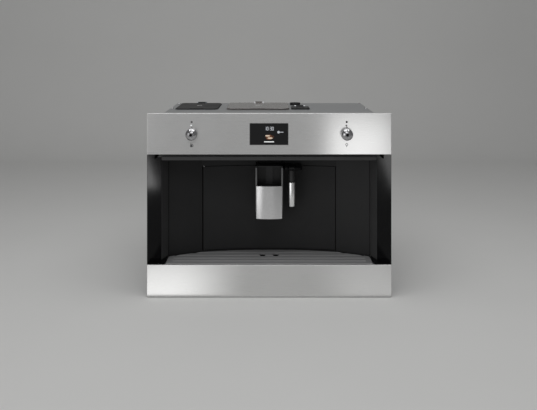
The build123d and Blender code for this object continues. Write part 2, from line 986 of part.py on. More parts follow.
with BuildPart() as control_board:
    with BuildSketch(facing(board_depth)):
        with Locations((0, panel_middle)):
            RectangleRounded(board_width, board_height, board_corner)
    extrude(amount=-board_thickness)
    with BuildSketch(facing(board_depth + board_thickness)):
        with Locations((chip_x, panel_middle + board_height / 4)):
            Rectangle(chip_size, chip_size)
        with Locations((connector_x, panel_middle - board_height / 3)):
            Rectangle(connector_width, low_part_height)
        with Locations((relay_x, panel_middle - board_height / 3)):
            Rectangle(relay_width, low_part_height)
        with Locations((capacitor_x, panel_middle + board_height / 4)):
            with GridLocations(capacitor_spacing, 0, 2, 1):
                Circle(capacitor_radius)
    extrude(amount=-part_height)
write(control_board.part, "control_board")

shaft_back = board_depth - encoder_floor - plunger_length - knob_travel - 3 * seat_gap


def encoder(x):
    """Rotary encoder on the front of the control board, with its threaded bushing."""
    with BuildPart() as body:
        with BuildSketch(facing(board_depth)):
            with Locations((x, knob_height)):
                RectangleRounded(encoder_size, encoder_size, encoder_corner)
        extrude(amount=encoder_length)
        with BuildSketch(facing(board_depth - encoder_length)):
            with Locations((x, knob_height)):
                Circle(bushing_radius)
        extrude(amount=board_depth - encoder_length - skin - 3 * seat_gap)
        with BuildSketch(facing(board_depth - encoder_floor)):
            with Locations((x, knob_height)):
                Circle(knob_shaft_radius + shaft_gap)
        extrude(amount=board_depth, mode=Mode.SUBTRACT)
    return body.part


knob_encoders = Compound([encoder(-knob_x), encoder(knob_x)])
write(knob_encoders, "knob_encoders")


def push_plunger(x):
    """Small switch plunger at the bottom of the encoder's bore, moved by the knob's shaft."""
    with BuildPart() as plunger:
        with BuildSketch(facing(shaft_back)):
            with Locations((x, knob_height)):
                Circle(knob_shaft_radius)
        extrude(amount=-plunger_length)
        chamfer(plunger.edges().group_by(Axis.Y)[-1], plunger_edge)
    return plunger.part


def knob(x):
    """Round knob with a dished face, a central boss, an index groove and its shaft."""
    tip = -knob_reach
    base = -knob_base_gap
    dish_middle = 0.55 * (knob_radius - knob_rim) + 0.45 * knob_boss_radius
    with BuildPart() as turned:
        with BuildSketch(Plane(origin=(x, 0, knob_height), x_dir=(1, 0, 0), z_dir=(0, 0, 1))):
            with BuildLine():
                Polyline(
                    (0, at(shaft_back)),
                    (knob_shaft_radius, at(shaft_back)),
                    (knob_shaft_radius, at(base)),
                    (knob_radius - knob_base_edge, at(base)),
                    (knob_radius, at(base - knob_base_edge)),
                    (knob_radius, at(tip + knob_rim)),
                )
                RadiusArc(
                    (knob_radius, at(tip + knob_rim)), (knob_radius - knob_rim, at(tip)), -knob_rim
                )
                ThreePointArc(
                    (knob_radius - knob_rim, at(tip)),
                    (dish_middle, at(tip + 0.8 * knob_dish_depth)),
                    (knob_boss_radius, at(tip + knob_dish_depth)),
                )
                Polyline(
                    (knob_boss_radius, at(tip + knob_dish_depth)),
                    (knob_boss_radius - knob_boss_slope, at(tip + 0.25 * knob_dish_depth)),
                    (knob_eye_radius, at(tip + 0.25 * knob_dish_depth)),
                    (knob_eye_radius, at(tip + 0.7 * knob_dish_depth)),
                    (0, at(tip + 0.7 * knob_dish_depth)),
                    (0, at(shaft_back)),
                )
            make_face()
        revolve(axis=Axis((x, 0, knob_height), (0, 1, 0)))
        with BuildSketch(facing(tip)):
            with Locations((x, knob_height + knob_boss_radius + seat_gap)):
                Rectangle(knob_index_width, knob_radius, align=(Align.CENTER, Align.MIN))
        extrude(amount=-0.6 * knob_rim, mode=Mode.SUBTRACT)
    return turned.part


for side_name, side in (("left", -1), ("right", 1)):
    write(push_plunger(side * knob_x), f"{side_name}_plunger")
    write(knob(side * knob_x), f"{side_name}_knob")

# ===================================================================== niche


def back_path(beyond=0.0, half=facet_half):
    """Plan line of the back wall, from the left end to the right one, moved back by a distance."""
    side_depth = facet_depth + (facet_half - half) * facet_slope
    left = (-half, at(side_depth + beyond))
    right = (half, at(side_depth + beyond))
    left_seam = (-door_half, at(door_edge_depth + beyond))
    right_seam = (door_half, at(door_edge_depth + beyond))
    Line(left, left_seam)
    ThreePointArc(left_seam, (0, at(door_mid_depth + beyond)), right_seam)
    Line(right_seam, right)
    return left, right


def behind_wall(beyond):
    """Everything in front of the curved wall, or of a curve a little beyond it, to cut with."""
    with BuildPart() as column:
        with BuildSketch(Plane.XY):
            with Locations((0, at(arc_centre))):
                Circle(arc_radius + beyond)
        extrude(amount=front_top)
    return column.part


with BuildPart() as niche_frame:
    with BuildSketch(Plane.XY.offset(ceiling_low)):
        with BuildLine():
            ceiling_left, ceiling_right = back_path(wall + ceiling_gap, facet_half + ceiling_overlap)
            Polyline(
                ceiling_right,
                (beside_cheek(cheek_back_depth), at(cheek_back_depth)),
                (beside_cheek(upstand_depth), at(upstand_depth)),
                (lip_half, at(upstand_depth)),
                (lip_half, at(lip_depth)),
                (-lip_half, at(lip_depth)),
                (-lip_half, at(upstand_depth)),
                (-beside_cheek(upstand_depth), at(upstand_depth)),
                (-beside_cheek(cheek_back_depth), at(cheek_back_depth)),
                ceiling_left,
            )
        make_face()
        with Locations((-lamp_x, at(lamp_depth)), (lamp_x, at(lamp_depth))):
            Circle(lamp_radius + seat_gap, mode=Mode.SUBTRACT)
    extrude(amount=ceiling)
    block((-lip_half, lip_half), (lip_depth, lip_depth + wall), (lip_low, ceiling_low))
    upstand_half = beside_cheek(upstand_depth + wall)
    block(
        (-upstand_half, upstand_half),
        (upstand_depth, upstand_depth + wall),
        (lip_high, upstand_height),
    )
    with BuildSketch(Plane.XY.offset(chassis_lip_top)):
        with BuildLine():
            Polyline(
                (cheek_back_half, at(cheek_back_depth)),
                (jamb_half, at(jamb_back_depth)),
                (jamb_half + jamb_thickness, at(jamb_back_depth + jamb_skew)),
                (cheek_back_half + jamb_thickness, at(cheek_back_depth + jamb_skew)),
                close=True,
            )
        make_face()
        mirror(about=Plane.YZ)
    extrude(amount=ceiling_low - chassis_lip_top)
write(niche_frame.part, "niche_frame")

cheek_run = front_half - cheek_back_half
cheek_rise = cheek_back_depth - cheek_front_depth
cheek_length = math.hypot(cheek_run, cheek_rise)
cheek_out_x = cheek_thickness * cheek_rise / cheek_length
cheek_out_d = cheek_thickness * cheek_run / cheek_length

with BuildPart() as cheek:
    with BuildSketch(Plane.XY.offset(tray_top + ledge_gap)):
        with BuildLine():
            Polyline(
                (front_half, at(cheek_front_depth)),
                (cheek_back_half, at(cheek_back_depth)),
                (cheek_back_half + cheek_out_x, at(cheek_back_depth) + seat_gap),
                (front_half, at(cheek_front_depth + 2 * cheek_out_d)),
                close=True,
            )
        make_face()
    extrude(amount=panel_bottom - cheek_head_gap - tray_top - ledge_gap)
    with BuildSketch(Plane.XY.offset(tray_top + ledge_gap)):
        with BuildLine():
            Polyline(
                (front_half, at(cheek_front_depth)),
                (cheek_back_half, at(cheek_back_depth)),
                (ledge_half, at(jamb_back_depth - ledge_setback)),
                (ledge_half, at(cheek_front_depth)),
                close=True,
            )
        make_face()
    extrude(amount=ledge_thickness)
    fillet(
        cheek.edges().filter_by(Axis.Z).sort_by(SortBy.LENGTH)[-4:].sort_by(Axis.Y)[:1],
        cheek_edge,
    )
write_pair(cheek.part, "cheek")

with BuildPart() as back_panel:
    with BuildSketch(Plane.XY.offset(sill_low)):
        with BuildLine():
            back_left, back_right = back_path()
            rear_left, rear_right = back_path(wall)
            Line(back_left, rear_left)
            Line(back_right, rear_right)
        make_face()
    extrude(amount=ceiling_low - sill_low)
    block(
        (-door_half, door_half),
        (lip_depth, body_depth),
        (sill_high, band_low),
        mode=Mode.SUBTRACT,
    )
    for side in (-1, 1):
        block(
            sorted((side * facet_half, side * (jamb_half + jamb_return))),
            (facet_depth, facet_depth + wall),
            (tray_top + ledge_gap, ceiling_low),
        )
    for low, high in ((sill_low, sill_high), (band_low, band_low + boss_height)):
        block(
            (hinge_x - boss_half, hinge_x + boss_half),
            (arc_depth(hinge_x) + boss_overlap, boss_back),
            (low, high),
        )
    with Locations((hinge_x, at(hinge_depth), front_top)):
        Hole(hinge_pin_radius + pin_gap)
write(back_panel.part, "back_panel")


def lamp(x):
    """Round lens that hangs by its flange in a hole of the niche ceiling."""
    with BuildPart() as lens:
        with Locations((x, at(lamp_depth), ceiling_low)):
            Cylinder(lamp_radius, ceiling, align=(Align.CENTER, Align.CENTER, Align.MIN))
        with Locations((x, at(lamp_depth), lip_high)):
            Cylinder(
                lamp_radius + lamp_flange,
                lamp_flange_thickness,
                align=(Align.CENTER, Align.CENTER, Align.MIN),
            )
        chamfer(lens.edges().group_by(Axis.Z)[0], lamp_edge)
    return lens.part


niche_lamps = Compound([lamp(-lamp_x), lamp(lamp_x)])
write(niche_lamps, "niche_lamps")

# ===================================================================== service door

door_left = hinge_x
door_right = door_half - door_seam
rib_left = hinge_x + hinge_barrel + hinge_rib_gap
rib_right = door_right - door_rib_inset


def arc_band(left, right, near, far):
    """Face between two curves along the back wall, from one X to another."""
    with BuildSketch(Plane.XY) as band:
        with BuildLine():
            middle = (left + right) / 2
            ThreePointArc(
                (left, at(arc_depth(left, near))),
                (middle, at(arc_depth(middle, near))),
                (right, at(arc_depth(right, near))),
            )
            Line((right, at(arc_depth(right, near))), (right, at(arc_depth(right, far))))
            ThreePointArc(
                (right, at(arc_depth(right, far))),
                (middle, at(arc_depth(middle, far))),
                (left, at(arc_depth(left, far))),
            )
            Line((left, at(arc_depth(left, far))), (left, at(arc_depth(left, near))))
        make_face()
    return band.sketch


door_skin_plan = arc_band(door_left, door_right, 0.0, door_thickness)
door_rib_plan = arc_band(rib_left, rib_right, door_thickness, door_thickness + door_rib_depth)
door_core_plan = arc_band(
    rib_left + wall, rib_right - wall, door_thickness, door_thickness + door_rib_depth + wall
)

with BuildPart() as service_door:
    with BuildSketch(Plane.XY.offset(door_low)):
        add(door_skin_plan)
        with Locations((hinge_x, at(hinge_depth))):
            Circle(hinge_barrel)
    extrude(amount=door_high - door_low)
    with BuildSketch(Plane.XY.offset(door_low + door_rib_inset)):
        add(door_rib_plan)
    extrude(amount=door_high - door_low - 2 * door_rib_inset)
    with BuildSketch(Plane.XY.offset(door_low + door_rib_inset + wall)):
        add(door_core_plan)
    extrude(amount=(door_high - door_low - 2 * door_rib_inset - 3 * wall) / 2, mode=Mode.SUBTRACT)
    with BuildSketch(Plane.XY.offset((door_high + door_low) / 2 + wall / 2)):
        add(door_core_plan)
    extrude(amount=(door_high - door_low - 2 * door_rib_inset - 3 * wall) / 2, mode=Mode.SUBTRACT)
    with Locations((hinge_x, at(hinge_depth), door_high)):
        Hole(hinge_pin_radius + shaft_gap)
write(service_door.part, "service_door")


def hinge_pin(low):
    """Upright steel pin between the door's barrel and a boss of the back panel."""
    with BuildPart() as pin:
        with Locations((hinge_x, at(hinge_depth), low)):
            Cylinder(
                hinge_pin_radius, hinge_pin_length, align=(Align.CENTER, Align.CENTER, Align.MIN)
            )
        chamfer(pin.edges(), hinge_pin_edge)
    return pin.part


door_hinge_pins = Compound(
    [hinge_pin(sill_low), hinge_pin(band_low + boss_height - hinge_pin_length)]
)
write(door_hinge_pins, "door_hinge_pins")

# ===================================================================== dispenser

in_front_of_door = behind_wall(0.0)
guide_high = band_low + guide_rise
guide_low = guide_high - guide_length
cover_high = guide_high - cover_drop_in_guide
cover_low = cover_high - cover_length
carriage_low = cover_low + carriage_lift
spout_tip = cover_low + spout_tip_lift

with BuildPart() as dispenser_guide:
    with BuildSketch(Plane.XY.offset(guide_low)):
        with Locations((0, at((guide_front + door_mid_depth + guide_bar) / 2))):
            Rectangle(2 * guide_half, door_mid_depth + guide_bar - guide_front)
        fillet(vertices(), guide_corner)
        with Locations((0, at(guide_front - 1))):
            Rectangle(
                2 * (guide_half - guide_bar),
                guide_back_depth - guide_front + 1,
                align=(Align.CENTER, Align.MIN),
                mode=Mode.SUBTRACT,
            )
        with Locations((0, at(guide_back_depth + guide_back_wall))):
            Rectangle(
                2 * (guide_half - guide_bar),
                body_depth,
                align=(Align.CENTER, Align.MIN),
                mode=Mode.SUBTRACT,
            )
    extrude(amount=guide_high - guide_low)
    block(
        (-guide_half + guide_bar, guide_half - guide_bar),
        (guide_front + guide_roof_setback, guide_back_depth),
        (guide_high - wall, guide_high),
    )
    add(in_front_of_door, mode=Mode.INTERSECT)
    with BuildSketch(facing(guide_back_depth)):
        with Locations((0, (guide_low + guide_high) / 2)):
            with GridLocations(2 * guide_rib_x, 0, 2, 1):
                Rectangle(guide_rib, guide_high - guide_low - 4 * wall)
    extrude(amount=guide_rib)
write(dispenser_guide.part, "dispenser_guide")


def cover_plan(inset):
    """Plan of the dispenser cover: a bowed front with rounded corners, or a smaller one inside it."""
    half = cover_half - inset
    with BuildSketch(Plane.XY) as plan:
        with BuildLine():
            ThreePointArc(
                (-half, at(cover_edge_depth + inset)),
                (0, at(cover_front_depth + inset)),
                (half, at(cover_edge_depth + inset)),
            )
            Polyline(
                (half, at(cover_edge_depth + inset)),
                (half, at(cover_return_depth)),
                (-half, at(cover_return_depth)),
                (-half, at(cover_edge_depth + inset)),
            )
        make_face()
        fillet(plan.vertices().group_by(Axis.Y)[0], cover_corner - inset)
    return plan.sketch


with BuildPart() as dispenser_cover:
    with BuildSketch(Plane.XY.offset(cover_low)):
        add(cover_plan(0.0))
    extrude(amount=cover_high - cover_low)
    with BuildSketch(Plane.XY.offset(cover_low - 1)):
        add(cover_plan(cover_sheet))
    extrude(amount=cover_high - cover_low - cover_sheet + 1, mode=Mode.SUBTRACT)
write(dispenser_cover.part, "dispenser_cover")

with BuildPart() as dispenser_carriage:
    with BuildSketch(Plane.XY.offset(carriage_low)):
        with Locations((0, at((cover_return_depth + carriage_back) / 2))):
            RectangleRounded(
                2 * carriage_half, carriage_back - cover_return_depth, carriage_corner
            )
    extrude(amount=cover_high - wall - carriage_low)
    with BuildSketch(Plane.XY.offset(carriage_low)):
        add(cover_plan(cover_sheet))
    extrude(amount=cover_high - cover_sheet - carriage_low)
    with BuildSketch(Plane.XY.offset(carriage_low + carriage_pocket_lift)):
        with Locations((0, at((cover_return_depth + carriage_back) / 2 + carriage_pocket_offset))):
            RectangleRounded(
                2 * carriage_half - carriage_pocket, carriage_pocket, carriage_pocket_corner
            )
    extrude(amount=cover_high - carriage_low, mode=Mode.SUBTRACT)
    with BuildSketch(Plane.XY.offset(carriage_low)):
        with Locations((-spout_x, at(spout_depth)), (spout_x, at(spout_depth))):
            Circle(spout_radius)
    extrude(amount=-(carriage_low - spout_tip), taper=spout_taper)
    with Locations((-spout_x, at(spout_depth), spout_tip), (spout_x, at(spout_depth), spout_tip)):
        Cylinder(
            spout_bore,
            carriage_low - spout_tip + spout_bore_rise,
            align=(Align.CENTER, Align.CENTER, Align.MIN),
            mode=Mode.SUBTRACT,
        )
write(dispenser_carriage.part, "dispenser_carriage")

# ===================================================================== wand

wand_pivot_height = band_low + wand_pivot_rise
mount_low = wand_pivot_height - mount_half_height
mount_high = wand_pivot_height + mount_half_height
grip_high = wand_pivot_height - grip_drop
grip_low = grip_high - grip_length
sleeve_high = grip_low - sleeve_drop
sleeve_low = sleeve_high - sleeve_length
wand_tube_low = sleeve_low - wand_tip_length

with BuildPart() as wand_mount:
    with BuildSketch(Plane.XY.offset(mount_low)):
        with BuildLine():
            Polyline(
                (mount_left, at(mount_front)),
                (mount_right, at(mount_front)),
                (mount_right, at(door_mid_depth)),
                (mount_left, at(door_mid_depth)),
                close=True,
            )
        make_face()
        fillet(vertices(), mount_corner)
        with Locations((wand_x, at(mount_front - 1))):
            Rectangle(
                2 * mount_slot_half,
                mount_slot_back - mount_front + 1,
                align=(Align.CENTER, Align.MIN),
                mode=Mode.SUBTRACT,
            )
    extrude(amount=mount_high - mount_low)
    block(
        (mount_left + mount_leg_inset, mount_left + mount_leg_inset + mount_leg_width),
        (mount_slot_back + mount_leg_setback, door_mid_depth),
        (mount_low - mount_drop, mount_low),
    )
    chamfer(wand_mount.faces().sort_by(Axis.Z)[-1].edges(), mount_edge)
    add(in_front_of_door, mode=Mode.INTERSECT)
    with BuildSketch(sideways(mount_left)):
        with Locations((at(wand_depth), wand_pivot_height)):
            Circle(wand_pin_radius + pin_gap)
    extrude(amount=mount_right - mount_left, mode=Mode.SUBTRACT)
write(wand_mount.part, "wand_mount")

with BuildPart() as wand_pin:
    with BuildSketch(sideways(wand_x - mount_slot_half - wand_pin_grip)):
        with Locations((at(wand_depth), wand_pivot_height)):
            Circle(wand_pin_radius)
    extrude(amount=2 * (mount_slot_half + wand_pin_grip))
write(wand_pin.part, "wand_pin")

with BuildPart() as wand_tube:
    with BuildSketch(sideways(wand_x - wand_head_half)):
        with Locations((at(wand_depth), wand_pivot_height)):
            Circle(wand_head_radius)
    extrude(amount=2 * wand_head_half)
    chamfer(wand_tube.edges(), wand_head_edge)
    with Locations((wand_x, at(wand_depth), wand_tube_low)):
        Cylinder(
            wand_tube_radius,
            wand_pivot_height - wand_tube_low,
            align=(Align.CENTER, Align.CENTER, Align.MIN),
        )
    with Locations((wand_x, at(wand_depth), wand_tube_low)):
        Cylinder(
            wand_tip_radius,
            sleeve_low - seat_gap - wand_tube_low,
            align=(Align.CENTER, Align.CENTER, Align.MIN),
        )
    with Locations((wand_x, at(wand_depth), wand_tube_low)):
        Cylinder(
            wand_bore,
            wand_bore_length,
            align=(Align.CENTER, Align.CENTER, Align.MIN),
            mode=Mode.SUBTRACT,
        )
    with BuildSketch(sideways(wand_x - wand_head_half)):
        with Locations((at(wand_depth), wand_pivot_height)):
            Circle(wand_pin_radius + shaft_gap)
    extrude(amount=2 * wand_head_half, mode=Mode.SUBTRACT)
write(wand_tube.part, "wand_tube")

wand_section = Plane(origin=(wand_x, at(wand_depth), 0), x_dir=(1, 0, 0), z_dir=(0, -1, 0))
wand_axis = Axis((wand_x, at(wand_depth), 0), (0, 0, 1))

with BuildPart() as wand_grip:
    with BuildSketch(wand_section):
        with BuildLine():
            Polyline(
                (wand_tube_radius + shaft_gap, grip_low),
                (grip_radius, grip_low),
                (grip_radius, grip_high - grip_shoulder_height),
                (grip_radius - grip_shoulder, grip_high),
                (wand_tube_radius + shaft_gap, grip_high),
                close=True,
            )
        make_face()
    revolve(axis=wand_axis)
write(wand_grip.part, "wand_grip")

with BuildPart() as wand_sleeve:
    with BuildSketch(wand_section):
        with BuildLine():
            Polyline(
                (wand_tube_radius + seat_gap, sleeve_low),
                (sleeve_radius - sleeve_edge, sleeve_low),
                (sleeve_radius, sleeve_low + sleeve_edge),
                (sleeve_radius, sleeve_high - sleeve_edge),
                (sleeve_radius - sleeve_edge, sleeve_high),
                (sleeve_bore, sleeve_high),
                (sleeve_bore, sleeve_low + sleeve_nose_height),
                (wand_tube_radius + seat_gap, sleeve_low + sleeve_nose_height),
                close=True,
            )
        make_face()
    revolve(axis=wand_axis)
write(wand_sleeve.part, "wand_sleeve")

# ===================================================================== drip drawer

with BuildPart() as drawer_front:
    with BuildSketch(facing(0)):
        with Locations((0, front_lift + lower_panel_height / 2)):
            Rectangle(front_width, lower_panel_height)
    extrude(amount=-panel_return)
    fillet(drawer_front.edges().group_by(Axis.Y)[0], skin_edge)
    with BuildSketch(facing(skin)):
        with Locations((0, front_lift + lower_panel_height / 2)):
            Rectangle(front_width - 2 * skin, lower_panel_height - 2 * skin)
    extrude(amount=-panel_return, mode=Mode.SUBTRACT)
    block(
        (-front_half, front_half),
        (drawer_top_return, panel_return),
        (tray_top - 2 * skin, tray_top),
        mode=Mode.SUBTRACT,
    )
write(drawer_front.part, "drawer_front")

grid_low = tray_top - grid_thickness
tray_rim = grid_low - seat_gap
carrier_bottom = front_lift + skin
carrier_half = front_half - skin
carrier_rib_pitch = 2 * (carrier_half - carrier_end) / carrier_pockets
tray_low = chassis_top + tray_lift
arm_low = chassis_top + arm_gap
pocket_height = tray_rim - carrier_bottom - 2 * drawer_wall

with BuildPart() as drawer_carrier:
    with BuildSketch(facing(skin)):
        with Locations((0, (carrier_bottom + tray_rim) / 2)):
            Rectangle(2 * carrier_half, tray_rim - carrier_bottom)
    extrude(amount=-(carrier_back - skin))
    with BuildSketch(facing(skin + drawer_wall)):
        with Locations((0, (carrier_bottom + tray_rim) / 2)):
            with GridLocations(carrier_rib_pitch, 0, carrier_pockets, 1):
                Rectangle(carrier_rib_pitch - drawer_wall, pocket_height)
    extrude(amount=-carrier_back, mode=Mode.SUBTRACT)
    for side in (-1, 1):
        block(
            (side * arm_x - arm_width / 2, side * arm_x + arm_width / 2),
            (skin, arm_back),
            (arm_low, tray_low),
        )
write(drawer_carrier.part, "drawer_carrier")


def tray_plan(inset, front):
    """Plan of the drip grid: straight front and sides, the rear edge along the back wall."""
    half = grid_half - inset
    gap = grid_wall_gap + inset
    side_depth = facet_depth + (facet_half - half) * facet_slope - gap
    with BuildSketch(Plane.XY) as plan:
        with BuildLine():
            Polyline(
                (-door_half, at(door_edge_depth - gap)),
                (-half, at(side_depth)),
                (-half, at(front)),
                (half, at(front)),
                (half, at(side_depth)),
                (door_half, at(door_edge_depth - gap)),
            )
            ThreePointArc(
                (door_half, at(door_edge_depth - gap)),
                (0, at(door_mid_depth - gap)),
                (-door_half, at(door_edge_depth - gap)),
            )
        make_face()
        rear_corners = plan.vertices().filter_by(
            lambda v: abs(abs(v.X) - half) < 0.1 and v.Y > at(front) + 1
        )
        fillet(rear_corners, max(grid_corner - inset, 1))
    return plan.sketch


with BuildPart() as drip_tray:
    with BuildSketch(Plane.XY.offset(tray_low)):
        add(tray_plan(tray_inset, tray_front))
    extrude(amount=tray_rim - tray_low)
    with BuildSketch(Plane.XY.offset(tray_low + wall)):
        add(tray_plan(tray_inset + wall, tray_front + wall))
    extrude(amount=tray_rim - tray_low, mode=Mode.SUBTRACT)
    chamfer(drip_tray.edges().group_by(Axis.Z)[0], tray_edge)
write(drip_tray.part, "drip_tray")

with BuildPart() as drip_grid:
    with BuildSketch(Plane.XY.offset(grid_low)):
        add(tray_plan(0.0, grid_front))
        with Locations((-grid_hole_x, at(grid_hole_depth)), (grid_hole_x, at(grid_hole_depth))):
            Circle(grid_hole_radius, mode=Mode.SUBTRACT)
    extrude(amount=grid_thickness)
    chamfer(drip_grid.faces().sort_by(Axis.Z)[-1].outer_wire().edges(), grid_edge)
    for row in range(grid_groove_count):
        groove = Plane(
            origin=(0, at(grid_groove_first + row * grid_groove_pitch), tray_top),
            x_dir=(0, 1, 0),
            z_dir=(1, 0, 0),
        )
        with BuildSketch(groove):
            with Locations((0, grid_groove_radius - grid_groove_depth)):
                Circle(grid_groove_radius)
        extrude(amount=grid_half - grid_groove_inset, both=True, mode=Mode.SUBTRACT)
write(drip_grid.part, "drip_grid")

# ===================================================================== brew compartment

hinge_clear = boss_half + seat_gap

with BuildPart() as compartment_liner:
    block(
        (-liner_half - wall, liner_half + wall),
        (liner_front, liner_back),
        (sill_high - wall, band_low + wall),
    )
    block(
        (-liner_half, liner_half), (liner_front, liner_back - wall), (sill_high, band_low),
        mode=Mode.SUBTRACT,
    )
    add(behind_wall(wall + seat_gap), mode=Mode.SUBTRACT)
    block(
        (hinge_x - hinge_clear, hinge_x + hinge_clear),
        (liner_front, boss_back + seat_gap),
        (sill_high - 2 * wall, band_low + 2 * wall),
        mode=Mode.SUBTRACT,
    )
    block(
        (chute_x - chute_width / 2 - seat_gap, chute_x + chute_width / 2 + seat_gap),
        (chute_depth - chute_length / 2 - seat_gap, chute_depth + chute_length / 2 + seat_gap),
        (band_low, band_low + wall),
        mode=Mode.SUBTRACT,
    )
write(compartment_liner.part, "compartment_liner")

bin_middle_x = bin_side_gap - liner_half + bin_width / 2
bin_front = door_mid_depth + door_thickness + door_rib_depth + bin_door_gap
bin_back = liner_back - wall - bin_back_gap
bin_middle_d = (bin_front + bin_back) / 2
bin_length = bin_back - bin_front

with BuildPart() as grounds_container:
    with BuildSketch(Plane.XY.offset(sill_high)):
        with Locations((bin_middle_x, at(bin_middle_d))):
            RectangleRounded(bin_width, bin_length, bin_corner)
    extrude(amount=bin_height)
    with BuildSketch(Plane.XY.offset(sill_high + bin_wall)):
        with Locations((bin_middle_x, at(bin_middle_d))):
            RectangleRounded(
                bin_width - 2 * bin_wall, bin_length - 2 * bin_wall, bin_corner - bin_wall
            )
    extrude(amount=bin_height, mode=Mode.SUBTRACT)
    with BuildSketch(facing(bin_front)):
        with Locations((bin_middle_x, sill_high + bin_height)):
            SlotOverall(2 * bin_grip_half, bin_grip_half)
    extrude(amount=-2 * bin_wall, mode=Mode.SUBTRACT)
    chamfer(grounds_container.faces().sort_by(Axis.Z)[0].edges(), bin_edge)
write(grounds_container.part, "grounds_container")

brew_right = brew_left + brew_width
brew_front = bin_front + brew_setback
brew_back = liner_back - wall - brew_back_gap
brew_length = brew_back - brew_front
brew_top = sill_high + brew_height
brew_middle_x = (brew_left + brew_right) / 2
brew_middle_d = (brew_front + brew_back) / 2
brew_pocket_middle = (brew_middle_d + brew_back) / 2 - brew_length / 6
brew_pocket_height = brew_height - brew_pocket_low - brew_pocket_high
brew_pocket_z = sill_high + brew_pocket_low + brew_pocket_height / 2

with BuildPart() as brew_unit:
    with BuildSketch(sideways(brew_left)):
        with BuildLine():
            Polyline(
                (at(brew_front), sill_high),
                (at(brew_back), sill_high),
                (at(brew_back), brew_top),
                (at(brew_middle_d), brew_top),
                (at(brew_front + brew_length / 5), brew_top - brew_nose_high),
                (at(brew_front), brew_top - brew_nose_low),
                close=True,
            )
        make_face()
        fillet(vertices(), brew_corner)
    extrude(amount=brew_right - brew_left)
    with BuildSketch(sideways(brew_left)):
        with Locations((at(brew_pocket_middle), brew_pocket_z)):
            RectangleRounded(brew_length / 2, brew_pocket_height, brew_pocket_corner)
    extrude(amount=brew_pocket_depth, mode=Mode.SUBTRACT)
    with BuildSketch(sideways(brew_right)):
        with Locations((at(brew_pocket_middle), brew_pocket_z)):
            RectangleRounded(brew_length / 2, brew_pocket_height, brew_pocket_corner)
    extrude(amount=-brew_pocket_depth, mode=Mode.SUBTRACT)
    with Locations((brew_middle_x, at(brew_middle_d + brew_chamber_offset), brew_top)):
        Cylinder(
            brew_chamber_radius,
            brew_chamber_height,
            align=(Align.CENTER, Align.CENTER, Align.MIN),
        )
        Cylinder(
            brew_chamber_radius - brew_chamber_wall,
            2 * brew_chamber_floor,
            align=(Align.CENTER, Align.CENTER, Align.CENTER),
            mode=Mode.SUBTRACT,
        )
    with BuildSketch(facing(brew_front)):
        with Locations((brew_middle_x, sill_high + brew_tab_lift)):
            with GridLocations(brew_tab_spacing, 0, 2, 1):
                RectangleRounded(brew_tab_width, brew_tab_height, brew_tab_corner)
    extrude(amount=brew_setback)
write(brew_unit.part, "brew_unit")

# ===================================================================== inner deck and grinder

deck_front = liner_back + seat_gap
deck_top = grinder_burr_low

with BuildPart() as inner_deck:
    with BuildSketch(Plane.XY.offset(deck_top - sheet)):
        with Locations((0, at((deck_front + chassis_back - sheet) / 2))):
            Rectangle(2 * side_inner, chassis_back - sheet - deck_front)
        with Locations((hopper_x, at(grinder_depth))):
            Circle(grinder_motor_radius + seat_gap, mode=Mode.SUBTRACT)
        with Locations(((tank_left + tank_right) / 2, at((tank_front + tank_back) / 2))):
            Circle(tank_spigot_radius + dock_wall + seat_gap, mode=Mode.SUBTRACT)
        with Locations((deck_slot_x, at(grinder_depth))):
            with GridLocations(deck_slot_spacing, 0, 2, 1):
                SlotOverall(deck_slot_length, deck_slot_width, mode=Mode.SUBTRACT)
    extrude(amount=sheet)
    for side in (-1, 1):
        block(
            sorted((side * side_inner, side * (side_inner - sheet))),
            (deck_front, chassis_back - sheet),
            (deck_top - deck_return, deck_top - sheet),
        )
write(inner_deck.part, "inner_deck")

grinder_neck = throat_radius - neck_step
grinder_motor_low = grinder_burr_low - grinder_motor_length
spout_end = at(chute_depth + chute_length / 2 + seat_gap)
dial_arm_left = hopper_x + grinder_burr_radius - 2 * dial_arm_overlap
grinder_section = Plane(
    origin=(hopper_x, at(grinder_depth), 0), x_dir=(1, 0, 0), z_dir=(0, -1, 0)
)

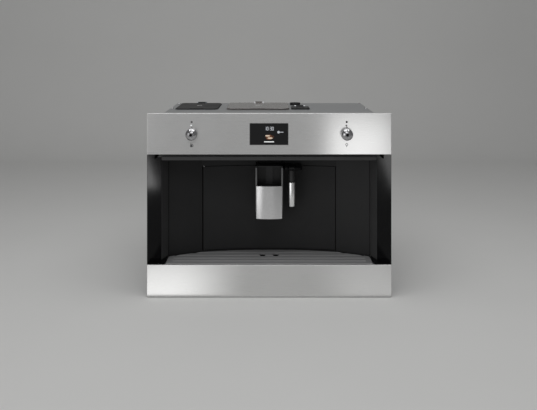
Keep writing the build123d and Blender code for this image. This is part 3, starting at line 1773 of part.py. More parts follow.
with BuildPart() as grinder_body:
    with BuildSketch(grinder_section):
        with BuildLine():
            Polyline(
                (0, grinder_motor_low - grinder_tail_length),
                (grinder_tail_radius, grinder_motor_low - grinder_tail_length),
                (grinder_tail_radius, grinder_motor_low),
                (grinder_motor_radius - grinder_motor_edge, grinder_motor_low),
                (grinder_motor_radius, grinder_motor_low + grinder_motor_edge),
                (grinder_motor_radius, grinder_burr_low),
                (grinder_burr_radius, grinder_burr_low),
                (grinder_burr_radius, grinder_burr_high - grinder_burr_edge),
                (grinder_burr_radius - grinder_burr_edge, grinder_burr_high),
                (throat_radius + hopper_wall, grinder_burr_high + grinder_collar),
                (throat_radius + hopper_wall, hopper_floor),
                (grinder_neck, hopper_floor),
                (grinder_neck, grinder_burr_high - neck_depth),
                (0, grinder_burr_high + burr_cone),
                close=True,
            )
        make_face()
    revolve(axis=Axis((hopper_x, at(grinder_depth), 0), (0, 0, 1)))
    with BuildSketch(Plane.XY.offset(dial_shaft_low)):
        with Locations((dial_x, at(dial_depth))):
            Circle(dial_boss_radius)
        with Locations(((dial_arm_left + dial_x) / 2, at(dial_depth))):
            Rectangle(dial_x - dial_arm_left, dial_boss_radius)
        with Locations((dial_x, at(dial_depth))):
            Circle(dial_shaft_radius + shaft_gap, mode=Mode.SUBTRACT)
    extrude(amount=dial_arm_thickness)
    with BuildSketch(Plane.XY.offset(deck_top + spout_floor)):
        with BuildLine():
            Polyline(
                (hopper_x + 0.45 * grinder_burr_radius, at(grinder_depth - 0.77 * grinder_burr_radius)),
                (chute_x - chute_width / 2 + chute_corner, spout_end),
                (chute_x + chute_width / 2 - chute_corner, spout_end),
                (hopper_x + 0.86 * grinder_burr_radius, at(grinder_depth - 0.27 * grinder_burr_radius)),
                close=True,
            )
        make_face()
    extrude(amount=spout_height)
write(grinder_body.part, "grinder_body")

hopper_top = cover_height


def hopper_form(inset, flange_width):
    """Funnel from the throat to the top cover; the inner form is the outer one less its wall."""
    throat = 2 * (throat_radius + hopper_wall - inset)
    mouth_width = hopper_width - 2 * hopper_flange - 2 * inset
    mouth_length = hopper_length - 2 * hopper_flange - 2 * inset
    with BuildPart() as funnel:
        with BuildSketch(Plane.XY.offset(hopper_floor)):
            with Locations((hopper_x, at(grinder_depth))):
                RectangleRounded(throat, throat, throat / 2 - throat_flat)
        with BuildSketch(Plane.XY.offset(hopper_top - hopper_flange)):
            with Locations((hopper_x, at(hopper_depth))):
                RectangleRounded(mouth_width, mouth_length, hopper_corner - inset)
        loft(ruled=True)
        with BuildSketch(Plane.XY.offset(hopper_top - hopper_flange)):
            with Locations((hopper_x, at(hopper_depth))):
                RectangleRounded(mouth_width, mouth_length, hopper_corner - inset)
        extrude(amount=hopper_flange)
        if flange_width:
            with BuildSketch(Plane.XY.offset(hopper_top - hopper_wall)):
                with Locations((hopper_x, at(hopper_depth))):
                    RectangleRounded(
                        mouth_width + 2 * flange_width,
                        mouth_length + 2 * flange_width,
                        hopper_corner,
                    )
            extrude(amount=hopper_wall)
    return funnel.part


hopper_shell = hopper_form(0.0, hopper_flange) - hopper_form(hopper_wall, 0.0)
write(hopper_shell, "bean_hopper")

with BuildPart() as pre_ground_chute:
    with BuildSketch(Plane.XY.offset(chute_low)):
        with Locations((chute_x, at(chute_depth))):
            RectangleRounded(chute_width, chute_length, chute_corner)
    extrude(amount=cover_height - chute_low)
    with BuildSketch(Plane.XY.offset(cover_height - chute_wall)):
        with Locations((chute_x, at(chute_depth))):
            RectangleRounded(
                chute_width + 2 * chute_rim, chute_length + 2 * chute_rim, chute_corner + chute_wall
            )
    extrude(amount=chute_wall)
    with BuildSketch(Plane.XY.offset(chute_low)):
        with Locations((chute_x, at(chute_depth))):
            RectangleRounded(
                chute_width - 2 * chute_wall, chute_length - 2 * chute_wall, chute_corner - chute_wall / 2
            )
    extrude(amount=cover_height, mode=Mode.SUBTRACT)
write(pre_ground_chute.part, "pre_ground_chute")

with BuildPart() as grind_dial:
    with BuildSketch(Plane.XY.offset(cover_top + seat_gap)):
        with Locations((dial_x, at(dial_depth))):
            Circle(dial_radius)
            with PolarLocations(dial_radius + dial_notch_offset, dial_notches):
                Circle(dial_notch_radius, mode=Mode.SUBTRACT)
    extrude(amount=dial_height)
    chamfer(grind_dial.faces().sort_by(Axis.Z)[-1].edges(), dial_edge)
    with BuildSketch(Plane.XY.offset(cover_top + seat_gap + dial_height)):
        with Locations((dial_x, at(dial_depth) + dial_radius / 2)):
            Rectangle(dial_mark_width, dial_radius - dial_mark_inset)
    extrude(amount=-dial_mark_depth, mode=Mode.SUBTRACT)
    with BuildSketch(Plane.XY.offset(dial_shaft_low)):
        with Locations((dial_x, at(dial_depth))):
            Circle(dial_shaft_radius)
    extrude(amount=cover_top + seat_gap - dial_shaft_low)
write(grind_dial.part, "grind_dial")


def hinged_lid(x, front, axis_depth, width, seat, thickness, corner):
    """Flat lid with a raised panel, whose barrel and pin stubs turn between two ears behind it."""
    back = axis_depth - lid_barrel_radius - lid_barrel_gap
    axis_height = seat + seat_gap + lid_barrel_radius
    with BuildPart() as lid:
        with BuildSketch(Plane.XY.offset(seat + seat_gap)):
            with Locations((x, at((front + back) / 2))):
                RectangleRounded(width, back - front, corner)
        extrude(amount=thickness)
        chamfer(lid.faces().sort_by(Axis.Z)[-1].edges(), lid_edge)
        with BuildSketch(Plane.XY.offset(seat + seat_gap)):
            with Locations((x, at(back - lid_tongue))):
                Rectangle(
                    lid_barrel_length,
                    axis_depth - back + lid_tongue,
                    align=(Align.CENTER, Align.MIN),
                )
        extrude(amount=thickness)
        with BuildSketch(sideways(x - lid_barrel_length / 2)):
            with Locations((at(axis_depth), axis_height)):
                Circle(lid_barrel_radius)
        extrude(amount=lid_barrel_length)
        with BuildSketch(sideways(x - lid_barrel_length / 2 - lid_pin_reach)):
            with Locations((at(axis_depth), axis_height)):
                Circle(lid_pin_radius)
        extrude(amount=lid_barrel_length + 2 * lid_pin_reach)
        with BuildSketch(Plane.XY.offset(seat + seat_gap + thickness)):
            with Locations((x, at(front + lid_grip_inset))):
                SlotOverall(min(width / 2, 2 * lid_grip), lid_grip_width)
        extrude(amount=-thickness / 2, mode=Mode.SUBTRACT)
    return lid.part


write(
    hinged_lid(
        hopper_x,
        hopper_depth - hopper_length / 2 - lid_overhang,
        hopper_depth + hopper_length / 2 + lid_overhang,
        hopper_width + 2 * lid_overhang,
        cover_top,
        hopper_lid_thickness,
        hopper_corner,
    ),
    "hopper_lid",
)
write(
    hinged_lid(
        chute_x,
        chute_depth - chute_length / 2 - lid_overhang,
        chute_depth + chute_length / 2 + lid_overhang,
        chute_width + 2 * lid_overhang,
        cover_top,
        hopper_lid_thickness,
        chute_corner + chute_wall,
    ),
    "chute_lid",
)

# ===================================================================== water

tank_middle = (tank_left + tank_right) / 2
tank_axis_depth = tank_back - lid_barrel_radius - tank_axis_inset
tank_deck = 2 * lid_barrel_radius + tank_deck_wall

with BuildPart() as water_tank:
    with BuildSketch(Plane.XY.offset(tank_low)):
        with Locations((tank_middle, at((tank_front + tank_back) / 2))):
            RectangleRounded(tank_width, tank_length, tank_corner)
    extrude(amount=tank_top - tank_low)
    chamfer(water_tank.faces().sort_by(Axis.Z)[0].edges(), tank_edge)
    with BuildSketch(Plane.XY.offset(tank_low + tank_wall)):
        with Locations((tank_middle, at((tank_front + tank_back - tank_deck + tank_wall) / 2))):
            RectangleRounded(
                tank_width - 2 * tank_wall, tank_length - tank_wall - tank_deck, tank_corner - tank_wall
            )
    extrude(amount=tank_top, mode=Mode.SUBTRACT)
    with Locations((tank_middle, at((tank_front + tank_back) / 2), tank_low)):
        Cylinder(
            tank_spigot_radius, tank_spigot_height, align=(Align.CENTER, Align.CENTER, Align.MAX)
        )
        Cylinder(
            tank_spigot_radius - tank_wall,
            2 * tank_spigot_height,
            align=(Align.CENTER, Align.CENTER, Align.CENTER),
            mode=Mode.SUBTRACT,
        )
    for side in (-1, 1):
        ear_x = tank_middle + side * (lid_barrel_length / 2 + lid_barrel_gap + lid_ear_half)
        with BuildSketch(sideways(ear_x)):
            with Locations((at(tank_axis_depth), tank_top + lid_barrel_radius + seat_gap)):
                Circle(lid_barrel_radius)
            with Locations((at(tank_axis_depth), tank_top)):
                Rectangle(
                    2 * lid_barrel_radius,
                    lid_barrel_radius + seat_gap,
                    align=(Align.CENTER, Align.MIN),
                )
            with Locations((at(tank_axis_depth), tank_top + lid_barrel_radius + seat_gap)):
                Circle(lid_pin_radius + shaft_gap, mode=Mode.SUBTRACT)
        extrude(amount=lid_ear_half, both=True)
write(water_tank.part, "water_tank")
write(
    hinged_lid(
        tank_middle,
        tank_front,
        tank_axis_depth,
        tank_width,
        tank_top,
        tank_lid_thickness,
        tank_corner,
    ),
    "tank_lid",
)

dock_top = tank_low - seat_gap
dock_low = tank_low - dock_drop

with BuildPart() as tank_dock:
    block(
        (-side_inner, tank_right + dock_margin + dock_wall),
        (tank_front - dock_margin - dock_wall, tank_back + dock_margin + dock_wall),
        (dock_top - dock_wall, dock_top + dock_rim),
    )
    block(
        (tank_left - dock_margin, tank_right + dock_margin),
        (tank_front - dock_margin, tank_back + dock_margin),
        (dock_top, dock_top + dock_rim),
        mode=Mode.SUBTRACT,
    )
    with Locations((tank_middle, at((tank_front + tank_back) / 2), dock_low)):
        Cylinder(
            tank_spigot_radius + dock_wall,
            dock_top - dock_low,
            align=(Align.CENTER, Align.CENTER, Align.MIN),
        )
    with Locations((tank_middle, at((tank_front + tank_back) / 2), dock_low + dock_wall)):
        Cylinder(
            tank_spigot_radius + seat_gap,
            dock_top - dock_low,
            align=(Align.CENTER, Align.CENTER, Align.MIN),
            mode=Mode.SUBTRACT,
        )
write(tank_dock.part, "tank_dock")

pump_depth = liner_back + pump_gap + pump_coil_half

with BuildPart() as pump:
    with BuildSketch(sideways(pump_x - pump_length / 2)):
        with Locations((at(pump_depth), pump_height)):
            Circle(pump_radius)
    extrude(amount=pump_length)
    with BuildSketch(sideways(pump_x - pump_length / 4)):
        with Locations((at(pump_depth), pump_height)):
            RectangleRounded(2 * pump_coil_half, 2 * pump_coil_half, pump_coil_corner)
    extrude(amount=pump_length / 2)
    for end in (pump_x - pump_length / 2, pump_x + pump_length / 2):
        block(
            (end - pump_foot_width / 2, end + pump_foot_width / 2),
            (pump_depth - pump_foot_half, pump_depth + pump_foot_half),
            (chassis_top, pump_height - pump_foot_drop),
        )
write(pump.part, "pump")

block_right = side_inner - block_side_gap
block_left = block_right - block_width
block_back = chassis_back - block_rear_gap
block_front = block_back - block_length
block_middle_x = (block_left + block_right) / 2

with BuildPart() as thermoblock:
    with BuildSketch(sideways(block_left)):
        with Locations((at((block_front + block_back) / 2), (block_low + block_high) / 2)):
            RectangleRounded(block_length, block_high - block_low, block_corner)
    extrude(amount=block_right - block_left)
    with BuildSketch(sideways(block_right)):
        with Locations((at((block_front + block_back) / 2), (block_low + block_high) / 2)):
            with GridLocations(block_fin_pitch, 0, block_fin_count, 1):
                Rectangle(block_fin_width, block_high - block_low + 2 * block_fin_depth)
    extrude(amount=-block_fin_depth, mode=Mode.SUBTRACT)
    for depth in (block_front + block_leg_inset, block_back - block_leg_inset):
        block(
            (block_middle_x - block_leg_half_width, block_middle_x + block_leg_half_width),
            (depth - block_leg_half_length, depth + block_leg_half_length),
            (chassis_top, block_low),
        )
    with BuildSketch(Plane.XY.offset(block_high)):
        with Locations(
            (block_middle_x, at(block_front + block_port_inset)),
            (block_middle_x, at(block_back - block_port_inset)),
        ):
            Circle(block_port_radius)
    extrude(amount=block_port_height)
write(thermoblock.part, "thermoblock")

power_board_x = power_board_side_gap - side_inner
power_board_back = chassis_back - power_board_rear_gap
power_board_front = power_board_back - power_board_length
power_board_height = power_board_high - power_board_low
power_board_middle = (
    at(power_board_back - power_board_length / 2),
    power_board_low + power_board_height / 2,
)

with BuildPart() as power_board:
    with BuildSketch(sideways(power_board_x)):
        with Locations(power_board_middle):
            RectangleRounded(power_board_length, power_board_height, power_board_corner)
    extrude(amount=board_thickness)
    with BuildSketch(sideways(power_board_x)):
        with Locations(power_board_middle):
            with GridLocations(
                power_board_length - 2 * power_post_inset,
                power_board_height - 2 * power_post_inset,
                2,
                2,
            ):
                Circle(board_post_radius)
    extrude(amount=-(side_inner + power_board_x))
    with BuildSketch(sideways(power_board_x + board_thickness)):
        with Locations((at(power_board_front + transformer_inset), power_board_low + transformer_inset)):
            Rectangle(transformer_width, transformer_height)
        with Locations((at(power_board_back - filter_inset), power_board_low + transformer_inset)):
            Circle(filter_radius)
        with Locations((at(power_board_front + transformer_inset), power_board_high - terminal_inset)):
            Rectangle(terminal_width, terminal_height)
    extrude(amount=power_part_height)
write(power_board.part, "power_board")
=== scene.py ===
"""Looks of a built-in coffee machine: finishes, signs, turned and folded metal, and the studio.

Everything is in metres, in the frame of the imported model: X to the viewer's right, -Y to the
front, Z up. Only the shapes of signs and of other thin pieces are given in millimetres.
"""

import logging
import math
from collections.abc import Iterable, Iterator
from dataclasses import dataclass
from enum import Enum
from typing import ClassVar

import bmesh
import bpy
from mathutils import Matrix, Vector
from mathutils.bvhtree import BVHTree


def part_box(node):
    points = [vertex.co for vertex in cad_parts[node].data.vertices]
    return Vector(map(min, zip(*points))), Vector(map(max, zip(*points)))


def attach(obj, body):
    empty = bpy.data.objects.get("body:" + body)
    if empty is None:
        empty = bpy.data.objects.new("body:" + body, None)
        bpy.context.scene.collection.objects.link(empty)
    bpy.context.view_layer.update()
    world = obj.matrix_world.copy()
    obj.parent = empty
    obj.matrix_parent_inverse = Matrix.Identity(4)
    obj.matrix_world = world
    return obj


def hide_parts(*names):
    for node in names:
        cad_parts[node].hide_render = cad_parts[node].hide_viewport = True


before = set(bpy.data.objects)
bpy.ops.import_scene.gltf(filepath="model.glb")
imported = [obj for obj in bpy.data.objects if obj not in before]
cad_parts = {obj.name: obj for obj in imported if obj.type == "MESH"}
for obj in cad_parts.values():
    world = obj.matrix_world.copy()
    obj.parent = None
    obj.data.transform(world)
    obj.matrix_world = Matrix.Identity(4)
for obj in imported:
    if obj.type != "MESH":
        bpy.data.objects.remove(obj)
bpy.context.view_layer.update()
log = logging.getLogger("coffee_machine")

Point = tuple[float, float, float]
Colour = tuple[float, float, float]
Range = tuple[float, float]
Socket = bpy.types.NodeSocket
Mesh = bmesh.types.BMesh
MM = 0.001
EVEN: Point = (1.0, 1.0, 1.0)
TURN_STEPS = 96  # steps of a full turn of a round piece


# --------------------------------------------------------------------------- finishes


class Grain(Enum):
    """Axis along which a metal is brushed, with the stretch of its pattern along X, Y and Z."""

    X = (0.5, 90.0, 90.0)
    Z = (90.0, 90.0, 0.5)


def shade(colour: Colour, factor: float) -> Colour:
    """Return a colour made lighter or darker by a factor."""
    return (colour[0] * factor, colour[1] * factor, colour[2] * factor)


class Recipe:
    """A material's node tree, with short ways to add and join its nodes."""

    MIDDLE: Range = (0.3, 0.7)  # the part of a noise's range that most of it lies in
    NOISE_ROUGHNESS = 0.6

    def __init__(self, name: str) -> None:
        """Start an empty material with a shader and an output.

        Args:
            name: Name of the material.
        """
        self.material = bpy.data.materials.new(name)
        self.material.use_nodes = True
        self.tree = self.material.node_tree
        self.tree.nodes.clear()
        self.shader = self.add("BsdfPrincipled")
        self.join(self.shader.outputs["BSDF"], self.add("OutputMaterial"), "Surface")

    @staticmethod
    def label(key: str) -> str:
        """Return a socket's label from its name in lower case with underscores."""
        return key.replace("_", " ").title().replace("Ior", "IOR")

    def add(self, kind: str, **settings: object) -> bpy.types.Node:
        """Add a node.

        Args:
            kind: Name of the node type, without its prefix.
            settings: Properties of the node, or values of its input sockets.

        Returns:
            The new node.
        """
        node = self.tree.nodes.new(f"ShaderNode{kind}")
        for key, value in settings.items():
            if hasattr(node, key):
                setattr(node, key, value)
            else:
                node.inputs[self.label(key)].default_value = value
        return node

    def join(self, source: Socket, target: bpy.types.Node, into: str | int) -> None:
        """Join an output socket to a node's input socket."""
        self.tree.links.new(source, target.inputs[into])

    def noise(self, scale: float, detail: float, stretch: Point = EVEN) -> Socket:
        """Add noise on Object coordinates.

        Args:
            scale: Scale of the noise.
            detail: Octaves of finer noise.
            stretch: Scale of the coordinates along X, Y and Z.

        Returns:
            The noise.
        """
        node = self.add("TexNoise", scale=scale, detail=detail, roughness=self.NOISE_ROUGHNESS)
        mapping = self.add("Mapping")
        mapping.inputs["Scale"].default_value = stretch
        self.join(self.add("TexCoord").outputs["Object"], mapping, "Vector")
        self.join(mapping.outputs["Vector"], node, "Vector")
        return node.outputs["Fac"]

    def spread(self, source: Socket, ends: Range, middle: Range = MIDDLE) -> Socket:
        """Map the middle of a pattern to a range of values.

        Args:
            source: The pattern.
            ends: Values for a low and a high pattern.
            middle: What counts as low and as high.

        Returns:
            The values.
        """
        node = self.add("MapRange")
        for label, value in zip(("From Min", "From Max", "To Min", "To Max"), (*middle, *ends)):
            node.inputs[label].default_value = value
        self.join(source, node, "Value")
        return node.outputs["Result"]

    def tint(self, source: Socket, colours: list[Colour]) -> None:
        """Drive the base colour between two colours by a pattern.

        Args:
            source: The pattern.
            colours: Colours where it is low and where it is high.
        """
        ramp = self.add("ValToRGB")
        for element, place, colour in zip(ramp.color_ramp.elements, self.MIDDLE, colours):
            element.position = place
            element.color = (*colour, 1.0)
        self.join(source, ramp, "Fac")
        self.join(ramp.outputs["Color"], self.shader, "Base Color")

    def rough(self, source: Socket, ends: Range) -> None:
        """Drive the roughness between two values by a pattern."""
        self.join(self.spread(source, ends), self.shader, "Roughness")

    def bump(self, source: Socket, depth: float, strength: float) -> None:
        """Raise the surface by a pattern.

        Args:
            source: The pattern.
            depth: Height of the relief in metres.
            strength: How strongly the relief shades.
        """
        node = self.add("Bump", strength=strength, distance=depth)
        self.join(source, node, "Height")
        self.join(node.outputs["Normal"], self.shader, "Normal")

    def set(self, **values: object) -> None:
        """Set constants on the shader's own sockets, named in lower case with underscores."""
        for key, value in values.items():
            self.shader.inputs[self.label(key)].default_value = value


@dataclass(frozen=True)
class Finish:
    """A finish that pieces of the machine can have.

    Attributes:
        name: Name of its material.
        slot: Material slot of the record that it belongs to; not used.
        colour: Base colour.
        roughness: Mean roughness.
        shades: Factors of the colour where its pattern is low and where it is high.
        gloss: Factors of the roughness at the same places.
    """

    name: str
    slot: str
    colour: Colour
    roughness: float
    shades: ClassVar[Range] = (0.9, 1.1)
    gloss: ClassVar[Range] = (0.8, 1.2)

    def mix(self, recipe: Recipe) -> None:
        """Fill the recipe, which each kind of finish does in its own way."""
        raise NotImplementedError

    def vary(self, recipe: Recipe, source: Socket, wear: Socket | None = None) -> None:
        """Let patterns drive the colour and the roughness.

        Args:
            recipe: The material's node tree.
            source: Pattern of the colour.
            wear: Pattern of the roughness, or None for the same one.
        """
        recipe.tint(source, [shade(self.colour, factor) for factor in self.shades])
        low, high = self.gloss
        recipe.rough(wear or source, (self.roughness * low, self.roughness * high))

    def material(self) -> bpy.types.Material:
        """Make the finish's material, the first time it is asked for.

        Returns:
            The material.
        """
        found = bpy.data.materials.get(self.name)
        if found is None:
            recipe = Recipe(self.name)
            self.mix(recipe)
            found = recipe.material
        return found


@dataclass(frozen=True)
class BrushedMetal(Finish):
    """Brushed or ground metal, with fine lines, soft bands and a stretched highlight.

    Attributes:
        grain: Axis of the lines.
        contrast: How much the lines differ in colour.
        anisotropy: Stretch of the highlight across the lines.
        relief: Depth of the lines in metres.
        bare: Share of bare metal; the rest is dull with oxide and dirt.
    """

    grain: Grain = Grain.X
    contrast: float = 0.035
    anisotropy: float = 0.7
    relief: float = 1e-5
    bare: float = 1.0
    gloss = (0.88, 1.14)
    LINES = (60.0, 6.0)  # scale and detail of the noise that gives the lines
    CLOUDS = (9.0, 2.0)  # scale and detail of the noise that gives the wear
    WEAR = 0.25
    RELIEF_STRENGTH = 0.25

    @property
    def shades(self) -> Range:
        """Factors of the colour, as far apart as the contrast says."""
        return (1 - self.contrast, 1 + self.contrast)

    def mix(self, recipe: Recipe) -> None:
        """Fine lines and cloudy wear drive colour and gloss, and the lines give the relief.

        Args:
            recipe: The material's node tree.
        """
        lines = recipe.noise(*self.LINES, self.grain.value)
        worn = recipe.add("Math", operation="MULTIPLY_ADD")
        worn.inputs[1].default_value = self.WEAR
        recipe.join(recipe.noise(*self.CLOUDS), worn, 0)
        recipe.join(lines, worn, 2)
        level = recipe.add("Math", operation="SUBTRACT")
        level.inputs[1].default_value = self.WEAR / 2
        recipe.join(worn.outputs["Value"], level, 0)
        self.vary(recipe, level.outputs["Value"])
        recipe.bump(lines, self.relief, self.RELIEF_STRENGTH)
        recipe.set(metallic=self.bare, anisotropic=self.anisotropy)
        tangent = recipe.add("Tangent", direction_type="RADIAL", axis=self.grain.name)
        recipe.join(tangent.outputs["Tangent"], recipe.shader, "Tangent")


@dataclass(frozen=True)
class PolishedMetal(Finish):
    """Polished or turned metal, with faint polishing haze and small marks."""

    shades = (0.97, 1.0)
    gloss = (0.7, 1.4)
    HAZE = (220.0, 4.0)  # scale and detail of its noise
    MARKS = (1e-5, 0.15)  # depth and strength of the relief

    def mix(self, recipe: Recipe) -> None:
        """Haze varies the gloss, and faint marks break the mirror.

        Args:
            recipe: The material's node tree.
        """
        haze = recipe.noise(*self.HAZE)
        self.vary(recipe, haze)
        recipe.bump(haze, *self.MARKS)
        recipe.set(metallic=1.0)


@dataclass(frozen=True)
class SheetMetal(Finish):
    """Galvanised sheet: pale crystals of zinc, rolling lines and dull gloss."""

    shades = (0.92, 1.05)
    CRYSTALS = 240.0  # scale of the cells
    ROLLING = (20.0, 4.0, (1.0, 30.0, 30.0))  # scale, detail and stretch of the lines
    ROLLING_SHARE = 0.45
    RELIEF = (3e-5, 0.25)  # depth and strength

    def mix(self, recipe: Recipe) -> None:
        """Crystals and rolling lines vary colour and gloss, and the lines give the relief.

        Args:
            recipe: The material's node tree.
        """
        cells = recipe.add("TexVoronoi", scale=self.CRYSTALS)
        recipe.join(recipe.add("TexCoord").outputs["Object"], cells, "Vector")
        grey = recipe.add("RGBToBW")
        recipe.join(cells.outputs["Color"], grey, "Color")
        rolling = recipe.noise(*self.ROLLING)
        blend = recipe.add("Mix", data_type="FLOAT")
        blend.inputs[0].default_value = self.ROLLING_SHARE
        recipe.join(grey.outputs[0], blend, 2)
        recipe.join(rolling, blend, 3)
        self.vary(recipe, blend.outputs["Result"])
        recipe.bump(rolling, *self.RELIEF)
        recipe.set(metallic=1.0)


@dataclass(frozen=True)
class Moulded(Finish):
    """Moulded plastic with a fine grain, faint marbling and worn, smoother patches.

    Attributes:
        texture: Size of the grain: a scale of the noise.
        relief: Depth of the grain in metres.
        shine: Strength of its mirror image, 0.5 for common plastic.
    """

    texture: float = 2600.0
    relief: float = 4e-5
    shine: float = 0.35
    gloss = (0.88, 1.12)
    GRAIN_DETAIL = 2.0
    CLOUDS = (14.0, 3.0)  # scale and detail of the marbling
    RELIEF_STRENGTH = 0.4

    def mix(self, recipe: Recipe) -> None:
        """Grain gives the relief, and slow clouds vary colour and gloss.

        Args:
            recipe: The material's node tree.
        """
        self.vary(recipe, recipe.noise(*self.CLOUDS))
        grain = recipe.noise(self.texture, self.GRAIN_DETAIL)
        recipe.bump(grain, self.relief, self.RELIEF_STRENGTH)
        recipe.set(specular_ior_level=self.shine)


@dataclass(frozen=True)
class Clear(Finish):
    """Clear or smoked plastic and glass, with faint haze."""

    shades = (0.96, 1.0)
    gloss = (0.7, 1.4)
    HAZE = (30.0, 3.0)  # scale and detail of its noise
    RELIEF = (2e-5, 0.2)  # depth and strength
    CLEARNESS = 0.9  # share of the light that goes through
    REFRACTION = 1.49

    def mix(self, recipe: Recipe) -> None:
        """Haze varies the gloss of a see-through body.

        Args:
            recipe: The material's node tree.
        """
        haze = recipe.noise(*self.HAZE)
        self.vary(recipe, haze)
        recipe.bump(haze, *self.RELIEF)
        recipe.set(transmission_weight=self.CLEARNESS, ior=self.REFRACTION)


@dataclass(frozen=True)
class Board(Finish):
    """Circuit board: solder mask with copper tracks showing through."""

    shades = (1.0, 2.1)
    TRACKS = (160.0, 0.0, (6.0, 1.0, 1.0))  # scale, detail and stretch of the tracks
    PITCH = 0.08  # step of the noise from track to track
    TRACK: ClassVar[Range] = (0.02, 0.06)  # where in a step a track starts and is full

    def mix(self, recipe: Recipe) -> None:
        """Tracks are narrow steps of a stretched noise under the mask.

        Args:
            recipe: The material's node tree.
        """
        tracks = recipe.noise(*self.TRACKS)
        steps = recipe.add("Math", operation="PINGPONG")
        steps.inputs[1].default_value = self.PITCH
        recipe.join(tracks, steps, 0)
        self.vary(recipe, recipe.spread(steps.outputs[0], (0.0, 1.0), self.TRACK), tracks)


@dataclass(frozen=True)
class Lit(Finish):
    """A lit sign.

    Attributes:
        strength: Strength of its light.
    """

    strength: float = 1.0
    shades = (0.85, 1.0)
    HAZE = (300.0, 2.0)  # scale and detail of its noise

    def mix(self, recipe: Recipe) -> None:
        """Faint cloudiness keeps the lit shape from being one flat colour."""
        self.vary(recipe, recipe.noise(*self.HAZE))
        recipe.set(emission_color=(*self.colour, 1.0), emission_strength=self.strength)


@dataclass(frozen=True)
class Paper(Finish):
    """Dull paper."""

    shades = (0.985, 1.0)
    gloss = (1.0, 1.0)
    CLOUDS = (3.0, 2.0)  # scale and detail of its noise

    def mix(self, recipe: Recipe) -> None:
        """Faint clouds vary the colour."""
        self.vary(recipe, recipe.noise(*self.CLOUDS))


class Palette:
    """All finishes of the machine and its floor, by the words a maker would use."""

    STEEL = BrushedMetal("brushed_front_steel", "brushed_steel", (0.72, 0.72, 0.715), 0.3)
    COVER_STEEL = BrushedMetal("brushed_cover_steel", "brushed_steel", (0.74, 0.74, 0.745), 0.28)
    SLEEVE_STEEL = BrushedMetal(
        "polished_sleeve_steel", "brushed_steel", (0.86, 0.86, 0.86), 0.26, Grain.Z, 0.03, 0.0, 1e-6
    )
    GRID_STEEL = BrushedMetal(
        "brushed_grid_steel", "dark_steel", (0.42, 0.42, 0.425), 0.42, Grain.X, 0.08, 0.4, 2e-5, 0.6
    )
    CHROME = PolishedMetal("knob_chrome", "chrome", (0.46, 0.46, 0.47), 0.05)
    BRIGHT = PolishedMetal("turned_steel", "bright_steel", (0.62, 0.62, 0.62), 0.22)
    ZINC = SheetMetal("zinc_sheet", "galvanised_steel", (0.5, 0.51, 0.52), 0.42)
    CAST = SheetMetal("cast_aluminium", "cast_aluminium", (0.6, 0.61, 0.62), 0.5)
    GLOSS = Moulded(
        "gloss_black", "black_gloss", (0.003, 0.003, 0.0034), 0.1, 900.0, 2e-6, 0.12
    )
    SATIN = Moulded(
        "satin_black", "black_satin", (0.0178, 0.0178, 0.0183), 0.48, 2600.0, 3e-5, 0.22
    )
    FRAME = Moulded(
        "satin_frame_black", "black_satin", (0.045, 0.045, 0.0455), 0.45, 2600.0, 3e-5, 0.4
    )
    GUIDE = Moulded(
        "guide_black", "black_gloss", (0.016, 0.016, 0.0165), 0.3, 1800.0, 1e-5, 0.35
    )
    # lighter plate in the guide's recess: painted light on the middle of the recess
    RECESS_PAINTED_LIGHT = Moulded(
        "guide_plate_black", "black_gloss", (0.034, 0.034, 0.035), 0.35, 1800.0, 1e-5, 0.4
    )
    GRIP = Moulded(
        "grip_black", "black_plastic", (0.024, 0.024, 0.0245), 0.42, 2600.0, 2e-5, 0.4
    )
    BLACK = Moulded(
        "moulded_black", "black_plastic", (0.011, 0.011, 0.0115), 0.5, 2600.0, 3e-5, 0.3
    )
    # grey strips on the black guide housing: painted highlights of its rounded edges
    BAR = Moulded("grey_guide_edge_painted_highlight", "black_gloss", (0.15, 0.15, 0.152), 0.35, 1800.0, 1e-5, 0.4)
    GREY = Moulded("moulded_grey", "grey_plastic", (0.25, 0.25, 0.26), 0.45)
    GLASS = Moulded(
        "display_glass_black", "display_black", (0.009, 0.009, 0.0095), 0.06, 400.0, 1e-6, 0.3
    )
    # lighter frame on the display glass's edge: painted highlight
    GLASS_EDGE_HIGHLIGHT = Moulded(
        "display_glass_edge_highlight", "display_black", (0.034, 0.034, 0.035), 0.3, 900.0, 2e-6, 0.5
    )
    TANK = Clear("smoky_tank", "tank_clear", (0.72, 0.78, 0.82), 0.08)
    HOPPER = Clear("smoked_hopper", "hopper_clear", (0.34, 0.3, 0.28), 0.1)
    LENS = Clear("lamp_lens", "lamp_clear", (0.95, 0.95, 0.92), 0.2)
    GREEN = Board("solder_mask", "board_green", (0.02, 0.12, 0.05), 0.35)
    INK = Moulded("printed_ink", "black_plastic", (0.03, 0.03, 0.032), 0.5, 3000.0, 4e-6)
    GREY_INK = Moulded("printed_grey_ink", "black_plastic", (0.1, 0.1, 0.103), 0.5, 3000.0, 4e-6)
    PALE_INK = Moulded("printed_pale_ink", "grey_plastic", (0.8, 0.8, 0.79), 0.5, 3000.0, 4e-6)
    PAPER = Paper("pale_paper", "", (0.69, 0.69, 0.68), 0.8)
    SIGN_GREY = Lit("lit_grey_sign", "display_black", (0.30, 0.31, 0.33), 0.4, 0.9)
    SIGN_WHITE = Lit("lit_white_sign", "display_black", (0.70, 0.71, 0.71), 0.4, 0.7)
    SIGN_CREAM = Lit("lit_cream_sign", "display_black", (0.55, 0.44, 0.34), 0.4, 0.6)
    SIGN_BROWN = Lit("lit_brown_sign", "display_black", (0.10, 0.035, 0.012), 0.4, 0.5)


